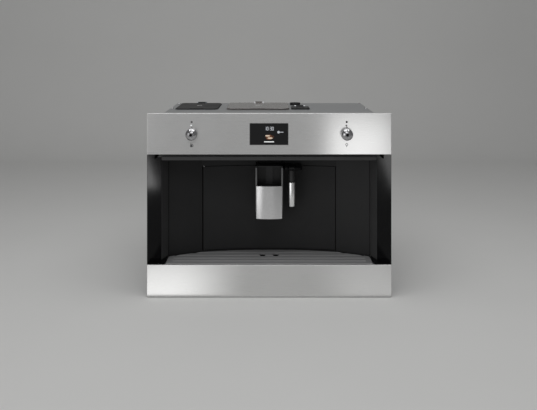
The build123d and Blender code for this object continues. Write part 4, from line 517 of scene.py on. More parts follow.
CHEEKS = ("cheek_left", "cheek_right")
NODE_FINISHES: dict[Finish, tuple[str, ...]] = {
    Palette.STEEL: ("control_fascia", "drawer_front"),
    Palette.COVER_STEEL: ("dispenser_cover",),
    Palette.SLEEVE_STEEL: ("wand_sleeve",),
    Palette.GRID_STEEL: ("drip_grid",),
    Palette.CHROME: ("left_knob", "right_knob"),
    Palette.BRIGHT: ("cover_screws", "knob_encoders", "door_hinge_pins"),
    Palette.ZINC: (
        "installation_base", "chassis_base", "inner_deck", "top_cover", "rear_panel",
        "side_panel_left", "side_panel_right", "rail_outer_left", "rail_outer_right",
        "rail_middle_left", "rail_middle_right", "rail_inner_left", "rail_inner_right",
    ),
    Palette.CAST: ("grinder_body", "thermoblock"),
    Palette.GLOSS: (*CHEEKS, "wand_mount"),
    Palette.GUIDE: ("dispenser_guide",),
    Palette.FRAME: ("niche_frame",),
    Palette.SATIN: ("back_panel", "service_door"),
    Palette.BLACK: (
        "fascia_carrier", "compartment_liner", "grounds_container", "dispenser_carriage",
        "wand_pin", "wand_tube", "drawer_carrier", "drip_tray", "pre_ground_chute",
        "chute_lid", "tank_dock", "tank_lid", "grind_dial", "power_inlet",
    ),
    Palette.GRIP: ("wand_grip",),
    Palette.GREY: ("display_module", "brew_unit", "pump", "left_plunger", "right_plunger"),
    Palette.GLASS: ("display_glass",),
    Palette.TANK: ("water_tank",),
    Palette.HOPPER: ("bean_hopper", "hopper_lid"),
    Palette.LENS: ("niche_lamps",),
    Palette.GREEN: ("control_board", "power_board"),
}


# --------------------------------------------------------------------------- making pieces


def at(x: float, y: float, z: float = 0.0) -> Matrix:
    """Return the matrix that moves a shape to a place."""
    return Matrix.Translation((x, y, z))


def rotate(degrees: float, axis: str) -> Matrix:
    """Return the matrix that turns a shape about an axis."""
    return Matrix.Rotation(math.radians(degrees), 4, axis)


def on_face(x: float, z: float, y: float) -> Matrix:
    """Return the matrix that lays a flat shape on an upright face, seen from the front."""
    return at(x, y, z) @ rotate(90, "X")


def measure(name: str) -> tuple[Vector, Vector]:
    """Return the middle and the size of a CAD node's box."""
    low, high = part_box(name)
    return (low + high) / 2, high - low


def touch(name: str, start: Point, way: Point) -> Vector:
    """Find where a straight line first meets a CAD node.

    Args:
        name: Name of the node.
        start: Start of the line.
        way: Its direction.

    Returns:
        The place on the node's surface.
    """
    probe = bmesh.new()
    probe.from_mesh(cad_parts[name].data)
    place = BVHTree.FromBMesh(probe).ray_cast(Vector(start), Vector(way))[0]
    probe.free()
    return place


def stock(
    name: str, mesh: Mesh, finish: Finish, body: str | None, smooth: float = 0.0
) -> bpy.types.Object:
    """Turn a finished mesh into a piece that rides on a body, or into a part of the studio.

    Args:
        name: Name of the piece.
        mesh: The finished mesh, which is freed.
        finish: Its finish.
        body: CAD body that it rides on, or None for the studio.
        smooth: Angle in degrees under which edges are shaded smooth, or 0 for flat faces.

    Returns:
        The new object.
    """
    if smooth:
        for face in mesh.faces:
            face.smooth = True
        for edge in mesh.edges:
            edge.smooth = edge.calc_face_angle(math.pi) < math.radians(smooth)
    data = bpy.data.meshes.new(name)
    mesh.to_mesh(data)
    mesh.free()
    data.materials.append(finish.material())
    piece = bpy.data.objects.new(name, data)
    bpy.context.scene.collection.objects.link(piece)
    if body:
        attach(piece, body)
    log.info("%s rides on %s, %d faces", name, body or "nothing", len(data.polygons))
    return piece


def spin(
    mesh: Mesh,
    geom: list,
    degrees: float,
    steps: int,
    centre: Point = (0.0, 0.0, 0.0),
    axis: Point = (0.0, 0.0, 1.0),
) -> list:
    """Sweep parts of a mesh round an axis; a full turn closes up.

    Args:
        mesh: The mesh.
        geom: Its parts that are swept.
        degrees: Angle of the sweep.
        steps: Steps of the sweep.
        centre: A point on the axis.
        axis: Direction of the axis.

    Returns:
        The parts at the sweep's end.
    """
    angle, whole = math.radians(degrees), degrees >= 360.0
    return bmesh.ops.spin(
        mesh, geom=geom, cent=centre, axis=axis, angle=angle, steps=steps, use_merge=whole
    )["geom_last"]


def round_edges(mesh: Mesh, edges: list, offset: float, segments: int) -> None:
    """Round edges of a mesh.

    Args:
        mesh: The mesh.
        edges: Its edges that are rounded.
        offset: Width of the rounding on each side.
        segments: Number of its segments.
    """
    bmesh.ops.bevel(
        mesh, geom=edges, offset=offset, segments=segments, profile=0.5, affect="EDGES", material=-1
    )


def turned(outline: list[Range]) -> Mesh:
    """Turn an outline about Z into a closed round piece.

    Args:
        outline: Points of radius and height, from the foot up; a radius of 0 is on the axis.

    Returns:
        The round mesh.
    """
    mesh = bmesh.new()
    tip = bmesh.ops.create_vert(mesh, co=(outline[0][0], 0, outline[0][1]))["vert"]
    for (radius, height), (next_radius, next_height) in zip(outline, outline[1:]):
        tip = bmesh.ops.extrude_vert_indiv(mesh, verts=tip)["verts"]
        step = (next_radius - radius, 0, next_height - height)
        bmesh.ops.translate(mesh, vec=step, verts=tip)
    spin(mesh, mesh.verts[:] + mesh.edges[:], 360.0, TURN_STEPS)
    bmesh.ops.remove_doubles(mesh, verts=mesh.verts[:], dist=1e-6)
    bmesh.ops.recalc_face_normals(mesh, faces=mesh.faces[:])
    return mesh


def curve(start: Range, end: Range, bulge: float, count: int) -> list[Range]:
    """Find the points of a shallow arc between two points of an outline, without its start.

    Args:
        start: First point.
        end: Last point.
        bulge: How far the middle stands to the left of the straight line.
        count: Number of points.

    Returns:
        The points, the last of them the end.
    """
    run = Vector(end) - Vector(start)
    side = Vector((-run.y, run.x)).normalized()
    points = []
    for step in range(1, count + 1):
        share = step / count
        spot = Vector(start) + run * share + side * bulge * 4 * share * (1 - share)
        points.append((spot.x, spot.y))
    return points


# --------------------------------------------------------------------------- signs


@dataclass(frozen=True)
class Shape:
    """A shape of a sign, all its lengths in millimetres and its angles in degrees.

    Attributes:
        x: Place of its middle, to the right of the sign's origin.
        y: Place of its middle, above it.
    """

    x: float
    y: float

    def add(self, mesh: Mesh, where: Matrix, rise: float) -> None:
        """Add it to a mesh, which each kind of shape does in its own way."""
        raise NotImplementedError


@dataclass(frozen=True)
class Bar(Shape):
    """A rectangle.

    Attributes:
        width: Its width.
        tall: Its height.
        turn: Its turn.
    """

    width: float
    tall: float
    turn: float = 0.0

    def add(self, mesh: Mesh, where: Matrix, rise: float) -> None:
        """Add a flat box.

        Args:
            mesh: The mesh that takes it.
            where: Matrix of its middle; its own Z is the way it rises.
            rise: How far it rises, in metres.
        """
        size = Matrix.Diagonal((self.width * MM, self.tall * MM, rise, 1))
        place = where @ rotate(self.turn, "Z") @ at(0, 0, rise / 2)
        bmesh.ops.create_cube(mesh, size=1.0, matrix=place @ size)


@dataclass(frozen=True)
class Spot(Shape):
    """A disc.

    Attributes:
        radius: Its radius.
        squash: Share that its height is squashed to.
        sides: Number of its sides.
    """

    radius: float
    squash: float = 1.0
    sides: int = 32
    TAPER: ClassVar[float] = 0.94  # radius of its top, as a share of its foot's

    def add(self, mesh: Mesh, where: Matrix, rise: float) -> None:
        """Add a low cone.

        Args:
            mesh: The mesh that takes it.
            where: Matrix of its middle; its own Z is the way it rises.
            rise: How far it rises, in metres.
        """
        bmesh.ops.create_cone(
            mesh,
            cap_ends=True,
            segments=self.sides,
            radius1=self.radius * MM,
            radius2=self.radius * MM * self.TAPER,
            depth=rise,
            matrix=where @ Matrix.Diagonal((1, self.squash, 1, 1)) @ at(0, 0, rise / 2),
        )


@dataclass(frozen=True)
class Loop(Shape):
    """A ring, or an arc of one.

    Attributes:
        radius: Radius of the line's middle.
        line: Width of the line.
        squash: Share that its height is squashed to.
        start: Angle of its start.
        turn: Angle that it covers.
        steps: Steps of its turn.
    """

    radius: float
    line: float
    squash: float = 1.0
    start: float = 0.0
    turn: float = 360.0
    steps: int = 32
    LEVEL: ClassVar[float] = 0.01  # an upright face's normal rises by less than this
    ALONG: ClassVar[float] = 0.3  # the normal of a face across the ring looks outwards by less

    def add(self, mesh: Mesh, where: Matrix, rise: float) -> None:
        """Spin a small rectangle, without the one that stays inside a full ring.

        Args:
            mesh: The mesh that takes it.
            where: Matrix of its middle; its own Z is the way it rises.
            rise: How far it rises, in metres.
        """
        part = bmesh.new()
        size = Matrix.Diagonal((self.line * MM, rise, 1, 1))
        upright = rotate(self.start, "Z") @ at(self.radius * MM, 0, rise / 2) @ rotate(90, "X")
        bmesh.ops.create_grid(part, x_segments=1, y_segments=1, size=0.5, matrix=upright @ size)
        spin(part, part.faces[:] + part.edges[:] + part.verts[:], self.turn, self.steps)
        if self.turn >= 360.0:
            inner = [face for face in part.faces if self._stands_across(face)]
            bmesh.ops.delete(part, geom=inner, context="FACES")
        bmesh.ops.recalc_face_normals(part, faces=part.faces[:])
        oval = where @ Matrix.Diagonal((1, self.squash, 1, 1))
        bmesh.ops.transform(part, matrix=oval, verts=part.verts[:])
        data = bpy.data.meshes.new("ring")
        part.to_mesh(data)
        part.free()
        mesh.from_mesh(data)
        bpy.data.meshes.remove(data)

    def _stands_across(self, face: bmesh.types.BMFace) -> bool:
        """Tell whether a face is upright and looks along the ring's line."""
        outward = (face.calc_center_median() * Vector((1, 1, 0))).normalized()
        return abs(face.normal.z) < self.LEVEL and abs(face.normal.dot(outward)) < self.ALONG


def emboss(mesh: Mesh, shapes: Iterable[Shape], where: Matrix, rise: float) -> None:
    """Add shapes to a mesh, with their height in millimetres."""
    for shape in shapes:
        shape.add(mesh, where @ at(shape.x * MM, shape.y * MM), rise * MM)


def sign(
    name: str,
    finish: Finish,
    shapes: Iterable[Shape],
    where: Matrix,
    rise: float = 0.12,
    body: str = "machine",
) -> None:
    """Make a flat sign, printed or lit, or another thin piece.

    Args:
        name: Name of its piece.
        finish: Its finish.
        shapes: The shapes that make it up.
        where: Matrix of its origin; its own Z is the way it rises.
        rise: How far it rises, in millimetres.
        body: CAD body that it rides on.
    """
    mesh = bmesh.new()
    emboss(mesh, shapes, where, rise)
    stock(name, mesh, finish, body)


@dataclass
class PanelSigns:
    """Small signs on the control panel: dots over each knob and a plain sign under it.

    Attributes:
        knob_x: Distance of the knobs from the middle, in millimetres.
        sign_z: Height of the signs' middles, in millimetres.
    """

    knob_x: float = 189.3
    sign_z: float = 371.5
    # Distance from the knob's middle, height and radius of each dot.
    DOTS = {"light": (0.0, 428.4, 2.5), "pale": (-1.0, 420.0, 1.9), "index": (0.0, 416.0, 1.4)}
    # the left pale dot takes the glowing white of the display's signs: its glow is painted light
    # that keeps it pale on the steel
    LEFT_INKS = (Palette.GREY_INK, Palette.SIGN_WHITE, Palette.INK)
    RIGHT_INKS = (Palette.GLOSS, Palette.GREY_INK, Palette.INK)
    JUG = (
        Bar(-0.8, -1.4, 5.6, 6.0),
        Bar(-0.8, 2.7, 7.0, 1.0),
        Loop(2.6, -0.8, 1.7, 0.8),
        Bar(-2.4, 5.0, 0.8, 2.0),
        Bar(0.6, 5.0, 0.8, 2.0),
    )
    RING_ON_STEM = (Loop(0.0, 2.1, 2.7, 1.0), Bar(0.0, -2.5, 1.6, 2.9))

    def build(self) -> None:
        """Print the signs on the steel."""
        panel = on_face(0.0, 0.0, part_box("control_fascia")[0].y)
        for side, x, inks in (
            ("left", -self.knob_x, self.LEFT_INKS),
            ("right", self.knob_x, self.RIGHT_INKS),
        ):
            for (word, (shift, z, radius)), ink in zip(self.DOTS.items(), inks):
                sign(f"{side}_{word}_dot", ink, [Spot(x + shift, z, radius)], panel)
        left, right = (panel @ at(x * MM, self.sign_z * MM) for x in (-self.knob_x, self.knob_x))
        sign("steam_sign", Palette.GREY_INK, self.JUG, left)
        sign("lamp_sign", Palette.GREY_INK, self.RING_ON_STEM, right)


@dataclass
class DisplaySigns:
    """What the display shows: a plain time, a cup with its bar, and a small dot with a line.

    Attributes:
        middle: X and height of the display's middle, in millimetres, as all sizes here.
        lift: How far the signs stand in front of the glass.
        cream_lift: How far the cream on the cup does.
        edge: Width of the lighter frame along the glass's edge, a painted highlight.
        digit: Width and height of a figure of the time.
        stroke: Width of a figure's strokes.
        places: Middles of the figures along the time.
        time: Place of the time's middle, from the display's middle.
        colon: Distance of the colon's dots from its middle.
    """

    middle: Range = (-0.5, 398.9)
    lift: float = 0.08
    cream_lift: float = 0.128
    edge: float = 1.3
    digit: Range = (3.3, 7.8)
    stroke: float = 1.15
    places: tuple[float, ...] = (-8.925, -3.825, 3.825, 8.925)
    time: Range = (0.4, 13.4)
    colon: float = 1.6
    # Strokes of each figure, and each stroke's place in half widths and half heights.
    FIGURES = {"1": "bc", "0": "abcdef", "3": "abgcd"}
    STROKES = {
        "a": (0, 1), "g": (0, 0), "d": (0, -1),
        "f": (-1, 0.5), "b": (1, 0.5), "e": (-1, -0.5), "c": (1, -0.5),
    }
    BAR = (Bar(0.2, -18.8, 24.0, 2.2),)
    CUP = (Spot(0.2, -7.6, 8.0, 0.8), Loop(8.6, -7.0, 2.6, 0.9))
    CREAM = (Spot(-3.4, -4.2, 6.0, 0.3), Spot(2.6, -9.8, 6.6, 0.3))
    DOT_AND_LINE = (Spot(23.4, 4.6, 3.2), Bar(30.6, 4.6, 9.0, 1.8))

    def build(self) -> None:
        """Set the signs on the front of the glass."""
        middle, size = measure("display_glass")
        front = middle.y - size.y / 2
        rim = on_face(middle.x, middle.z, front)
        # lighter frame round the glass: painted highlight of its edge
        sign("display_edge_highlight", Palette.GLASS_EDGE_HIGHLIGHT, self._edge(size / MM), rim, self.lift)
        glass = on_face(self.middle[0] * MM, self.middle[1] * MM, front)
        sign("display_time", Palette.SIGN_GREY, self._time(), glass, self.lift)
        sign("display_bar", Palette.SIGN_WHITE, self.BAR, glass, self.lift)
        sign("display_cup", Palette.SIGN_BROWN, self.CUP, glass, self.lift)
        sign("display_cup_cream", Palette.SIGN_CREAM, self.CREAM, glass, self.cream_lift)
        sign("display_dot_and_line", Palette.SIGN_GREY, self.DOT_AND_LINE, glass, self.lift)

    def _edge(self, size: Vector) -> Iterator[Bar]:
        """Frame the glass with thin lighter bars, a painted highlight of its edge.

        Args:
            size: Size of the glass in millimetres.

        Returns:
            The four bars.
        """
        across, up = (size.x - self.edge) / 2, (size.z - self.edge) / 2
        for side in (-1, 1):
            yield Bar(0.0, side * up, size.x, self.edge)
            yield Bar(side * across, 0.0, self.edge, size.z - 2 * self.edge)

    def _time(self) -> Iterator[Bar]:
        """Write the time as four figures with a colon.

        Returns:
            The strokes of the figures and the two dots of the colon.
        """
        x, y = self.time
        width, height = self.digit
        for place, figure in zip(self.places, "1030"):
            for across, up in (self.STROKES[name] for name in self.FIGURES[figure]):
                size = (self.stroke, height / 2) if across else (width, self.stroke)
                yield Bar(x + place + across * width / 2, y + up * height / 2, *size)
        for up in (-self.colon, self.colon):
            yield Bar(x, y + up, self.stroke, self.stroke)


@dataclass
class TopMarks:
    """Plain signs on the pieces that are used from above, all lengths in millimetres.

    Attributes:
        ink: Thickness of the ink.
        dial_steps: Number of dots round the grind dial.
        dial_turn: Angle that the dots cover, in degrees.
        dial_gap: Distance of the dots' middles from the dial.
        dial_dot: Radius of the smallest dot, and how much it grows from dot to dot.
        dial_sink: How far the surface round the dial lies under the chute's lid.
        bean_turn: Turn of the bean, in degrees.
        level_x: Distance of the level lines' middles from the tank's side.
        level_z: Height of the lowest line, and the step from line to line.
        level_widths: Width of each line.
        level_line: Thickness of a line.
    """

    ink: float = 0.1
    dial_steps: int = 7
    dial_turn: float = 270.0
    dial_gap: float = 5.0
    dial_dot: Range = (0.7, 0.22)
    dial_sink: float = 0.3
    bean_turn: float = 35.0
    level_x: float = 22.0
    level_z: Range = (30.0, 15.0)
    level_widths: tuple[float, ...] = (16.0, 9.0, 9.0, 9.0, 9.0, 9.0, 16.0)
    level_line: float = 0.8
    BEAN = (Loop(0, 0, 11.0, 1.4, 0.66, steps=48), Loop(-2.0, -12.5, 12.5, 1.2, 1.0, 62.0, 60.0))
    DROP = (
        Loop(0.0, 0.0, 6.0, 1.2, 1.0, 150.0, 240.0),
        Bar(-2.6, 7.6, 1.2, 10.4, -30.0),
        Bar(2.6, 7.6, 1.2, 10.4, 30.0),
    )

    def build(self) -> None:
        """Print the dots round the dial, the bean, the drop and the tank's level lines."""
        middle, size = measure("grind_dial")
        dial = at(middle.x, middle.y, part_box("chute_lid")[0].z - self.dial_sink * MM)
        dots = self._dial_dots(size.x / 2 / MM + self.dial_gap)
        sign("dial_dots", Palette.INK, dots, dial, self.ink)
        hopper = self._on_top("hopper_lid") @ rotate(self.bean_turn, "Z")
        sign("bean_sign", Palette.PALE_INK, self.BEAN, hopper, self.ink, "hopper_cap")
        tank_lid = self._on_top("tank_lid")
        sign("drop_sign", Palette.PALE_INK, self.DROP, tank_lid, self.ink, "tank_cap")
        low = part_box("water_tank")[0]
        tank = on_face(low.x, low.z, low.y)
        sign("tank_levels", Palette.PALE_INK, self._levels(), tank, self.ink, "tank")

    def _on_top(self, name: str) -> Matrix:
        """Return the matrix of the middle of a CAD node's upper surface."""
        x, y, _ = measure(name)[0]
        return at(x, y, touch(name, (x, y, 1.0), (0.0, 0.0, -1.0)).z)

    def _dial_dots(self, radius: float) -> Iterator[Spot]:
        """Set dots round the dial, which grow from fine to coarse.

        Args:
            radius: Distance of the dots from the dial's middle.

        Returns:
            The dots.
        """
        for step in range(self.dial_steps):
            angle = math.radians(90 + self.dial_turn * (0.5 - step / (self.dial_steps - 1)))
            dot = self.dial_dot[0] + self.dial_dot[1] * step
            yield Spot(radius * math.cos(angle), radius * math.sin(angle), dot, sides=20)

    def _levels(self) -> Iterator[Bar]:
        """Rule the level lines of the tank, of which the first and the last are long.

        Returns:
            The lines.
        """
        for step, width in enumerate(self.level_widths):
            height = self.level_z[0] + self.level_z[1] * step
            yield Bar(self.level_x, height, width, self.level_line)


# --------------------------------------------------------------------------- the machine


class Casing:
    """The CAD nodes that keep their shape."""

    def build(self) -> None:
        """Give every CAD node the material of its finish."""
        for finish, names in NODE_FINISHES.items():
            for name in names:
                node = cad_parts[name]
                node.data.materials.clear()
                node.data.materials.append(finish.material())
        log.info("dressed %d CAD nodes", sum(map(len, NODE_FINISHES.values())))


@dataclass
class Knob:
    """One chrome knob: a dome, a raised ring round a dark eye, and a dark index line up its dome,
    painted shade of its index groove.

    Attributes:
        side: Name of the side, which is in the names of its node and body.
        depth: Depth of the knob.
        chamfer: Chamfer of its rear rim.
        ledge: How far the dome's foot lies inside the knob's side, and behind it.
        dome: Radius of the dome's sphere.
        dome_steps: Steps of the dome.
        sink: How far the dome's end lies behind the knob's foremost plane.
        face: Radius at which the dome ends.
        lip: How far the groove's outer wall slopes inwards.
        groove: Depth of the groove round the raised ring.
        ring: Radii of the raised ring's foot and crest.
        crest: Depth of the raised ring's crest.
        swell: How full the raised ring is.
        eye: Radius of the dark eye.
        socket: Depth of the eye.
        eye_disc: Radius and thickness of the eye's disc, in millimetres.
        index: Width and thickness of the dark index line, painted shade of a groove that is not
            cut, in millimetres.
        index_ends: Angles that it stays short of the dome's end, and of both ends together.
    """

    side: str
    depth: float = 17.0 * MM
    chamfer: float = 1.2 * MM
    ledge: Range = (0.4 * MM, 0.5 * MM)
    dome: float = 18.0 * MM
    dome_steps: int = 16
    sink: float = 0.3 * MM
    face: float = 6.3 * MM
    lip: float = 0.2 * MM
    groove: float = 0.9 * MM
    ring: Range = (5.5 * MM, 3.9 * MM)
    crest: float = 0.05 * MM
    swell: float = 0.35 * MM
    eye: float = 3.6 * MM
    socket: float = 1.6 * MM
    eye_disc: Range = (3.5, 0.25)
    index: Range = (1.8, 0.2)
    index_ends: Range = (2.0, 6.0)

    def build(self) -> None:
        """Turn the knob, and set its eye and index line into it."""
        middle, size = measure(f"{self.side}_knob")
        radius, foot = size.x / 2, -self.depth
        inner = math.asin(self.face / self.dome)
        outer = math.asin((radius - self.ledge[0]) / self.dome)
        centre = -self.sink - self.dome * math.cos(inner)
        outline = [(0.0, foot), (radius - self.chamfer, foot), (radius, foot + self.chamfer)]
        outline.append((radius, centre + self.dome * math.cos(outer) - self.ledge[1]))
        for step in range(self.dome_steps + 1):
            angle = outer + (inner - outer) * step / self.dome_steps
            outline.append((self.dome * math.sin(angle), centre + self.dome * math.cos(angle)))
        outline += [(self.face - self.lip, -self.groove), (self.ring[0], -self.groove)]
        outline += curve(outline[-1], (self.ring[1], -self.crest), -self.swell, 5)
        outline += [(self.eye, -self.socket), (0.0, -self.socket)]
        mesh = turned(outline)
        to_front = on_face(middle.x, middle.z, middle.y - size.y / 2)
        bmesh.ops.transform(mesh, matrix=to_front, verts=mesh.verts[:])
        body = f"{self.side}_dial"
        piece = stock(f"{self.side}_knob_turned", mesh, Palette.CHROME, body, 40.0)
        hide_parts(f"{self.side}_knob")

        disc, disc_rise = self.eye_disc
        eye, bottom = [Spot(0.0, 0.0, disc)], to_front @ at(0, 0, -self.socket)
        sign(f"{self.side}_knob_eye", Palette.GLOSS, eye, bottom, disc_rise, body)
        # dark index line laid on the dome: painted shade of the knob's index groove
        width, line = self.index
        short, both = self.index_ends
        start, turn = math.degrees(inner) + short, math.degrees(outer - inner) - both
        arc = [Loop(0.0, 0.0, self.dome / MM, line, 1.0, start, turn, 12)]
        upright = to_front @ at(width * MM / 2, 0, centre) @ rotate(-90, "Y")
        sign(f"{self.side}_knob_index_painted_shade", Palette.INK, arc, upright, width, body)


@dataclass
class Wand:
    """Round pieces of the hot water wand, turned smooth.

    Attributes:
        wall: Wall of the sleeve.
        throat: Radius of the hole in its foot.
        foot: Thickness of its foot.
        rim: Rounding of its rims.
        fullness: Bulge of a rounded rim, as a share of its size.
        flutes: Number of the grip's flutes.
        flute: Width that stands beside a flute, and its depth.
        grip_rim: Rounding of the grip's rims.
    """

    wall: float = 1.9 * MM
    throat: float = 4.3 * MM
    foot: float = 8.0 * MM
    rim: float = 0.8 * MM
    fullness: float = 0.2
    flutes: int = 28
    flute: Range = (0.12 * MM, 0.45 * MM)
    grip_rim: float = 0.5 * MM

    def build(self) -> None:
        """Turn the sleeve and the fluted grip about the wand's own axis."""
        self._sleeve()
        self._grip()

    def _sleeve(self) -> None:
        """Turn the bright straight sleeve with its small rounded rims."""
        low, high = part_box("wand_sleeve")
        radius = (high.x - low.x) / 2
        edge, bore = radius - self.rim, radius - self.wall
        floor, bulge = low.z + self.foot, -self.fullness * self.rim
        outline = [(self.throat, low.z), (edge, low.z)]
        outline += curve(outline[-1], (radius, low.z + self.rim), bulge, 4)
        outline += [(radius, high.z - self.rim)]
        outline += curve(outline[-1], (edge, high.z), bulge, 4)
        outline += [(bore, high.z), (bore, floor), (self.throat, floor), (self.throat, low.z)]
        mesh = turned(outline)
        middle = (low + high) / 2
        bmesh.ops.translate(mesh, vec=(middle.x, middle.y, 0), verts=mesh.verts[:])
        piece = stock("wand_sleeve_turned", mesh, Palette.SLEEVE_STEEL, "frother", 35.0)
        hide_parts("wand_sleeve")

    def _grip(self) -> None:
        """Sink upright flutes into the black grip, and round its rims."""
        middle, size = measure("wand_grip")
        mesh = bmesh.new()
        bmesh.ops.create_cone(
            mesh,
            cap_ends=True,
            segments=2 * self.flutes,
            radius1=size.x / 2,
            radius2=size.x / 2,
            depth=size.z,
            matrix=Matrix.Translation(middle),
        )
        walls = [face for face in mesh.faces if abs(face.normal.z) < 0.5]
        walls.sort(key=lambda face: math.atan2(*(face.calc_center_median() - middle).yx))
        land, depth = self.flute
        bmesh.ops.inset_individual(mesh, faces=walls[::2], thickness=land, depth=-depth)
        caps = [face for face in mesh.faces if abs(face.normal.z) > 0.9]
        rims = list({edge for cap in caps for edge in cap.edges})
        round_edges(mesh, rims, self.grip_rim, 2)
        piece = stock("wand_grip_fluted", mesh, Palette.GRIP, "wand", 30.0)
        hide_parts("wand_grip")


@dataclass
class Dispenser:
    """Bowed steel cover of the dispenser, and painted light on the housing that it slides between:
    grey strips that are painted highlights of its rounded edges, and a lighter plate of painted
    light in its recess.

    Attributes:
        sheet: Thickness of the steel.
        bow: How far the middle of the front stands before its corners.
        corner: Rounding of the upright corners.
        edge: Rounding of the sheet's edges.
        near: Distance within which an edge counts as lying at a corner or at the top.
        steps: Steps of the bowed front.
        bar: Width of a side bar of the housing, in millimetres.
        bar_gap: How much narrower the painted highlight on it is, in millimetres.
        plate: Width of the lighter plate of painted light in the recess, and what it leaves free,
            in millimetres.
        probe: Distance of the place where the recess is measured from the housing's top.
        lift: How far the painted highlights and the plate of painted light rise, in millimetres.
    """

    sheet: float = 1.2 * MM
    bow: float = 5.0 * MM
    corner: float = 2.4 * MM
    edge: float = 0.35 * MM
    near: float = 0.1 * MM
    steps: int = 40
    bar: float = 4.0
    bar_gap: float = 0.2
    plate: Range = (17.0, 7.0)
    probe: float = 9.0 * MM
    lift: float = 0.1

    def build(self) -> None:
        """Fold the cover and set the painted highlights and the plate of painted light."""
        self._cover()
        self._paint_housing_light()

    def _cover(self) -> None:
        """Bend the front, raise it, close the top, and round corners and edges."""
        low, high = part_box("dispenser_cover")
        half = (high.x - low.x) / 2
        radius = (half**2 + self.bow**2) / (2 * self.bow)
        corner_y = low.y + self.bow
        mesh = bmesh.new()
        left = bmesh.ops.create_vert(mesh, co=(low.x, corner_y, low.z))["vert"][0]
        arc, centre = 2 * math.asin(half / radius), ((low.x + high.x) / 2, low.y + radius, low.z)
        bent = spin(mesh, [left], math.degrees(arc), self.steps, centre)
        right = next(part for part in bent if isinstance(part, bmesh.types.BMVert))
        ends = bmesh.ops.extrude_vert_indiv(mesh, verts=[left, right])["verts"]
        bmesh.ops.translate(mesh, vec=(0, high.y - low.y - self.bow, 0), verts=ends)
        raised = bmesh.ops.extrude_edge_only(mesh, edges=mesh.edges[:])["geom"]
        upper = [part for part in raised if isinstance(part, bmesh.types.BMVert)]
        bmesh.ops.translate(mesh, vec=(0, 0, high.z - low.z), verts=upper)
        corners = [
            edge
            for edge in mesh.edges
            if edge.is_manifold
            and abs(edge.verts[0].co.y - corner_y) < self.near
            and abs(edge.verts[0].co.z - edge.verts[1].co.z) > self.sheet
        ]
        round_edges(mesh, corners, self.corner, 6)
        top_z = high.z - self.near
        top = [edge for edge in mesh.edges if min(vert.co.z for vert in edge.verts) > top_z]
        bmesh.ops.contextual_create(mesh, geom=top)
        bmesh.ops.recalc_face_normals(mesh, faces=mesh.faces[:])
        if sum(face.normal.y * face.calc_area() for face in mesh.faces) > 0:
            bmesh.ops.reverse_faces(mesh, faces=mesh.faces[:])
        piece = stock("dispenser_cover_folded", mesh, Palette.COVER_STEEL, "dispenser", 35.0)
        wall = piece.modifiers.new("sheet", "SOLIDIFY")
        wall.thickness = self.sheet
        wall.offset = -1.0
        rounding = piece.modifiers.new("edge", "BEVEL")
        rounding.width = self.edge
        rounding.segments = 2
        rounding.limit_method = "ANGLE"
        rounding.angle_limit = math.radians(40)
        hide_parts("dispenser_cover")

    def _paint_housing_light(self) -> None:
        """Set a thin grey strip on each side of the housing, a painted highlight of its rounded
        edge, and a lighter plate in its recess, painted light on the recess's middle.
        """
        low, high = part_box("dispenser_guide")
        middle, tall = (low.z + high.z) / 2, (high.z - low.z) / MM
        # grey strip: painted highlight of the housing's rounded edge
        front = [Bar(0.0, 0.0, self.bar - self.bar_gap, tall - 2 * self.bar)]
        inset = self.bar / 2 * MM
        for side, x in (("left", low.x + inset), ("right", high.x - inset)):
            where = on_face(x, middle, low.y)
            sign(f"{side}_guide_edge_painted_highlight", Palette.BAR, front, where, self.lift, "service_door")
        wall = touch("dispenser_guide", (0.0, -1.0, high.z - self.probe), (0.0, 1.0, 0.0)).y
        # lighter plate: painted light on the middle of the recess
        width, free = self.plate
        plate, where = [Bar(0.0, 0.0, width, tall - 2 * free)], on_face(0.0, middle, wall)
        sign("guide_recess_painted_light", Palette.RECESS_PAINTED_LIGHT, plate, where, self.lift, "service_door")


@dataclass
class Fasteners:
    """Dark hexagons on the heads of the cover screws: painted shade of their sockets, which are not
    cut.

    Attributes:
        socket: Radius of a painted socket, in millimetres.
        rise: Height of its dark disc over the head, in millimetres.
        inset: Distance of the screws from the side of the covers.
        front: Distance of the first screws of the top from its front edge.
        rear: Distance of the last screws of the top from its rear edge.
        margin: Distance of the outer rear screws from the rear panel's ends.
    """

    socket: float = 1.7
    rise: float = 0.06
    inset: float = 6.0 * MM
    front: float = 38.0 * MM
    rear: float = 18.4 * MM
    margin: float = 30.0 * MM

    def build(self) -> None:
        """Mark every screw of the top and of the rear."""
        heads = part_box("cover_screws")[1]
        low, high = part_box("top_cover")
        first, last = low.y + self.front, high.y - self.rear
        places = [
            at(x, y, heads.z)
            for x in (low.x + self.inset, high.x - self.inset)
            for y in (first, (first + last) / 2, last)
        ]
        low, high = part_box("rear_panel")
        places += [
            at(x, heads.y, z) @ rotate(-90, "X")
            for x in (low.x + self.inset, high.x - self.inset)
            for z in (low.z + self.margin, (low.z + high.z) / 2, high.z - self.margin)
        ]
        mesh = bmesh.new()
        for place in places:
            # dark hexagon on each head: painted shade of a socket
            emboss(mesh, [Spot(0.0, 0.0, self.socket, sides=6)], place, self.rise)
        stock("painted_screw_socket_shade", mesh, Palette.INK, "machine")


# --------------------------------------------------------------------------- the studio


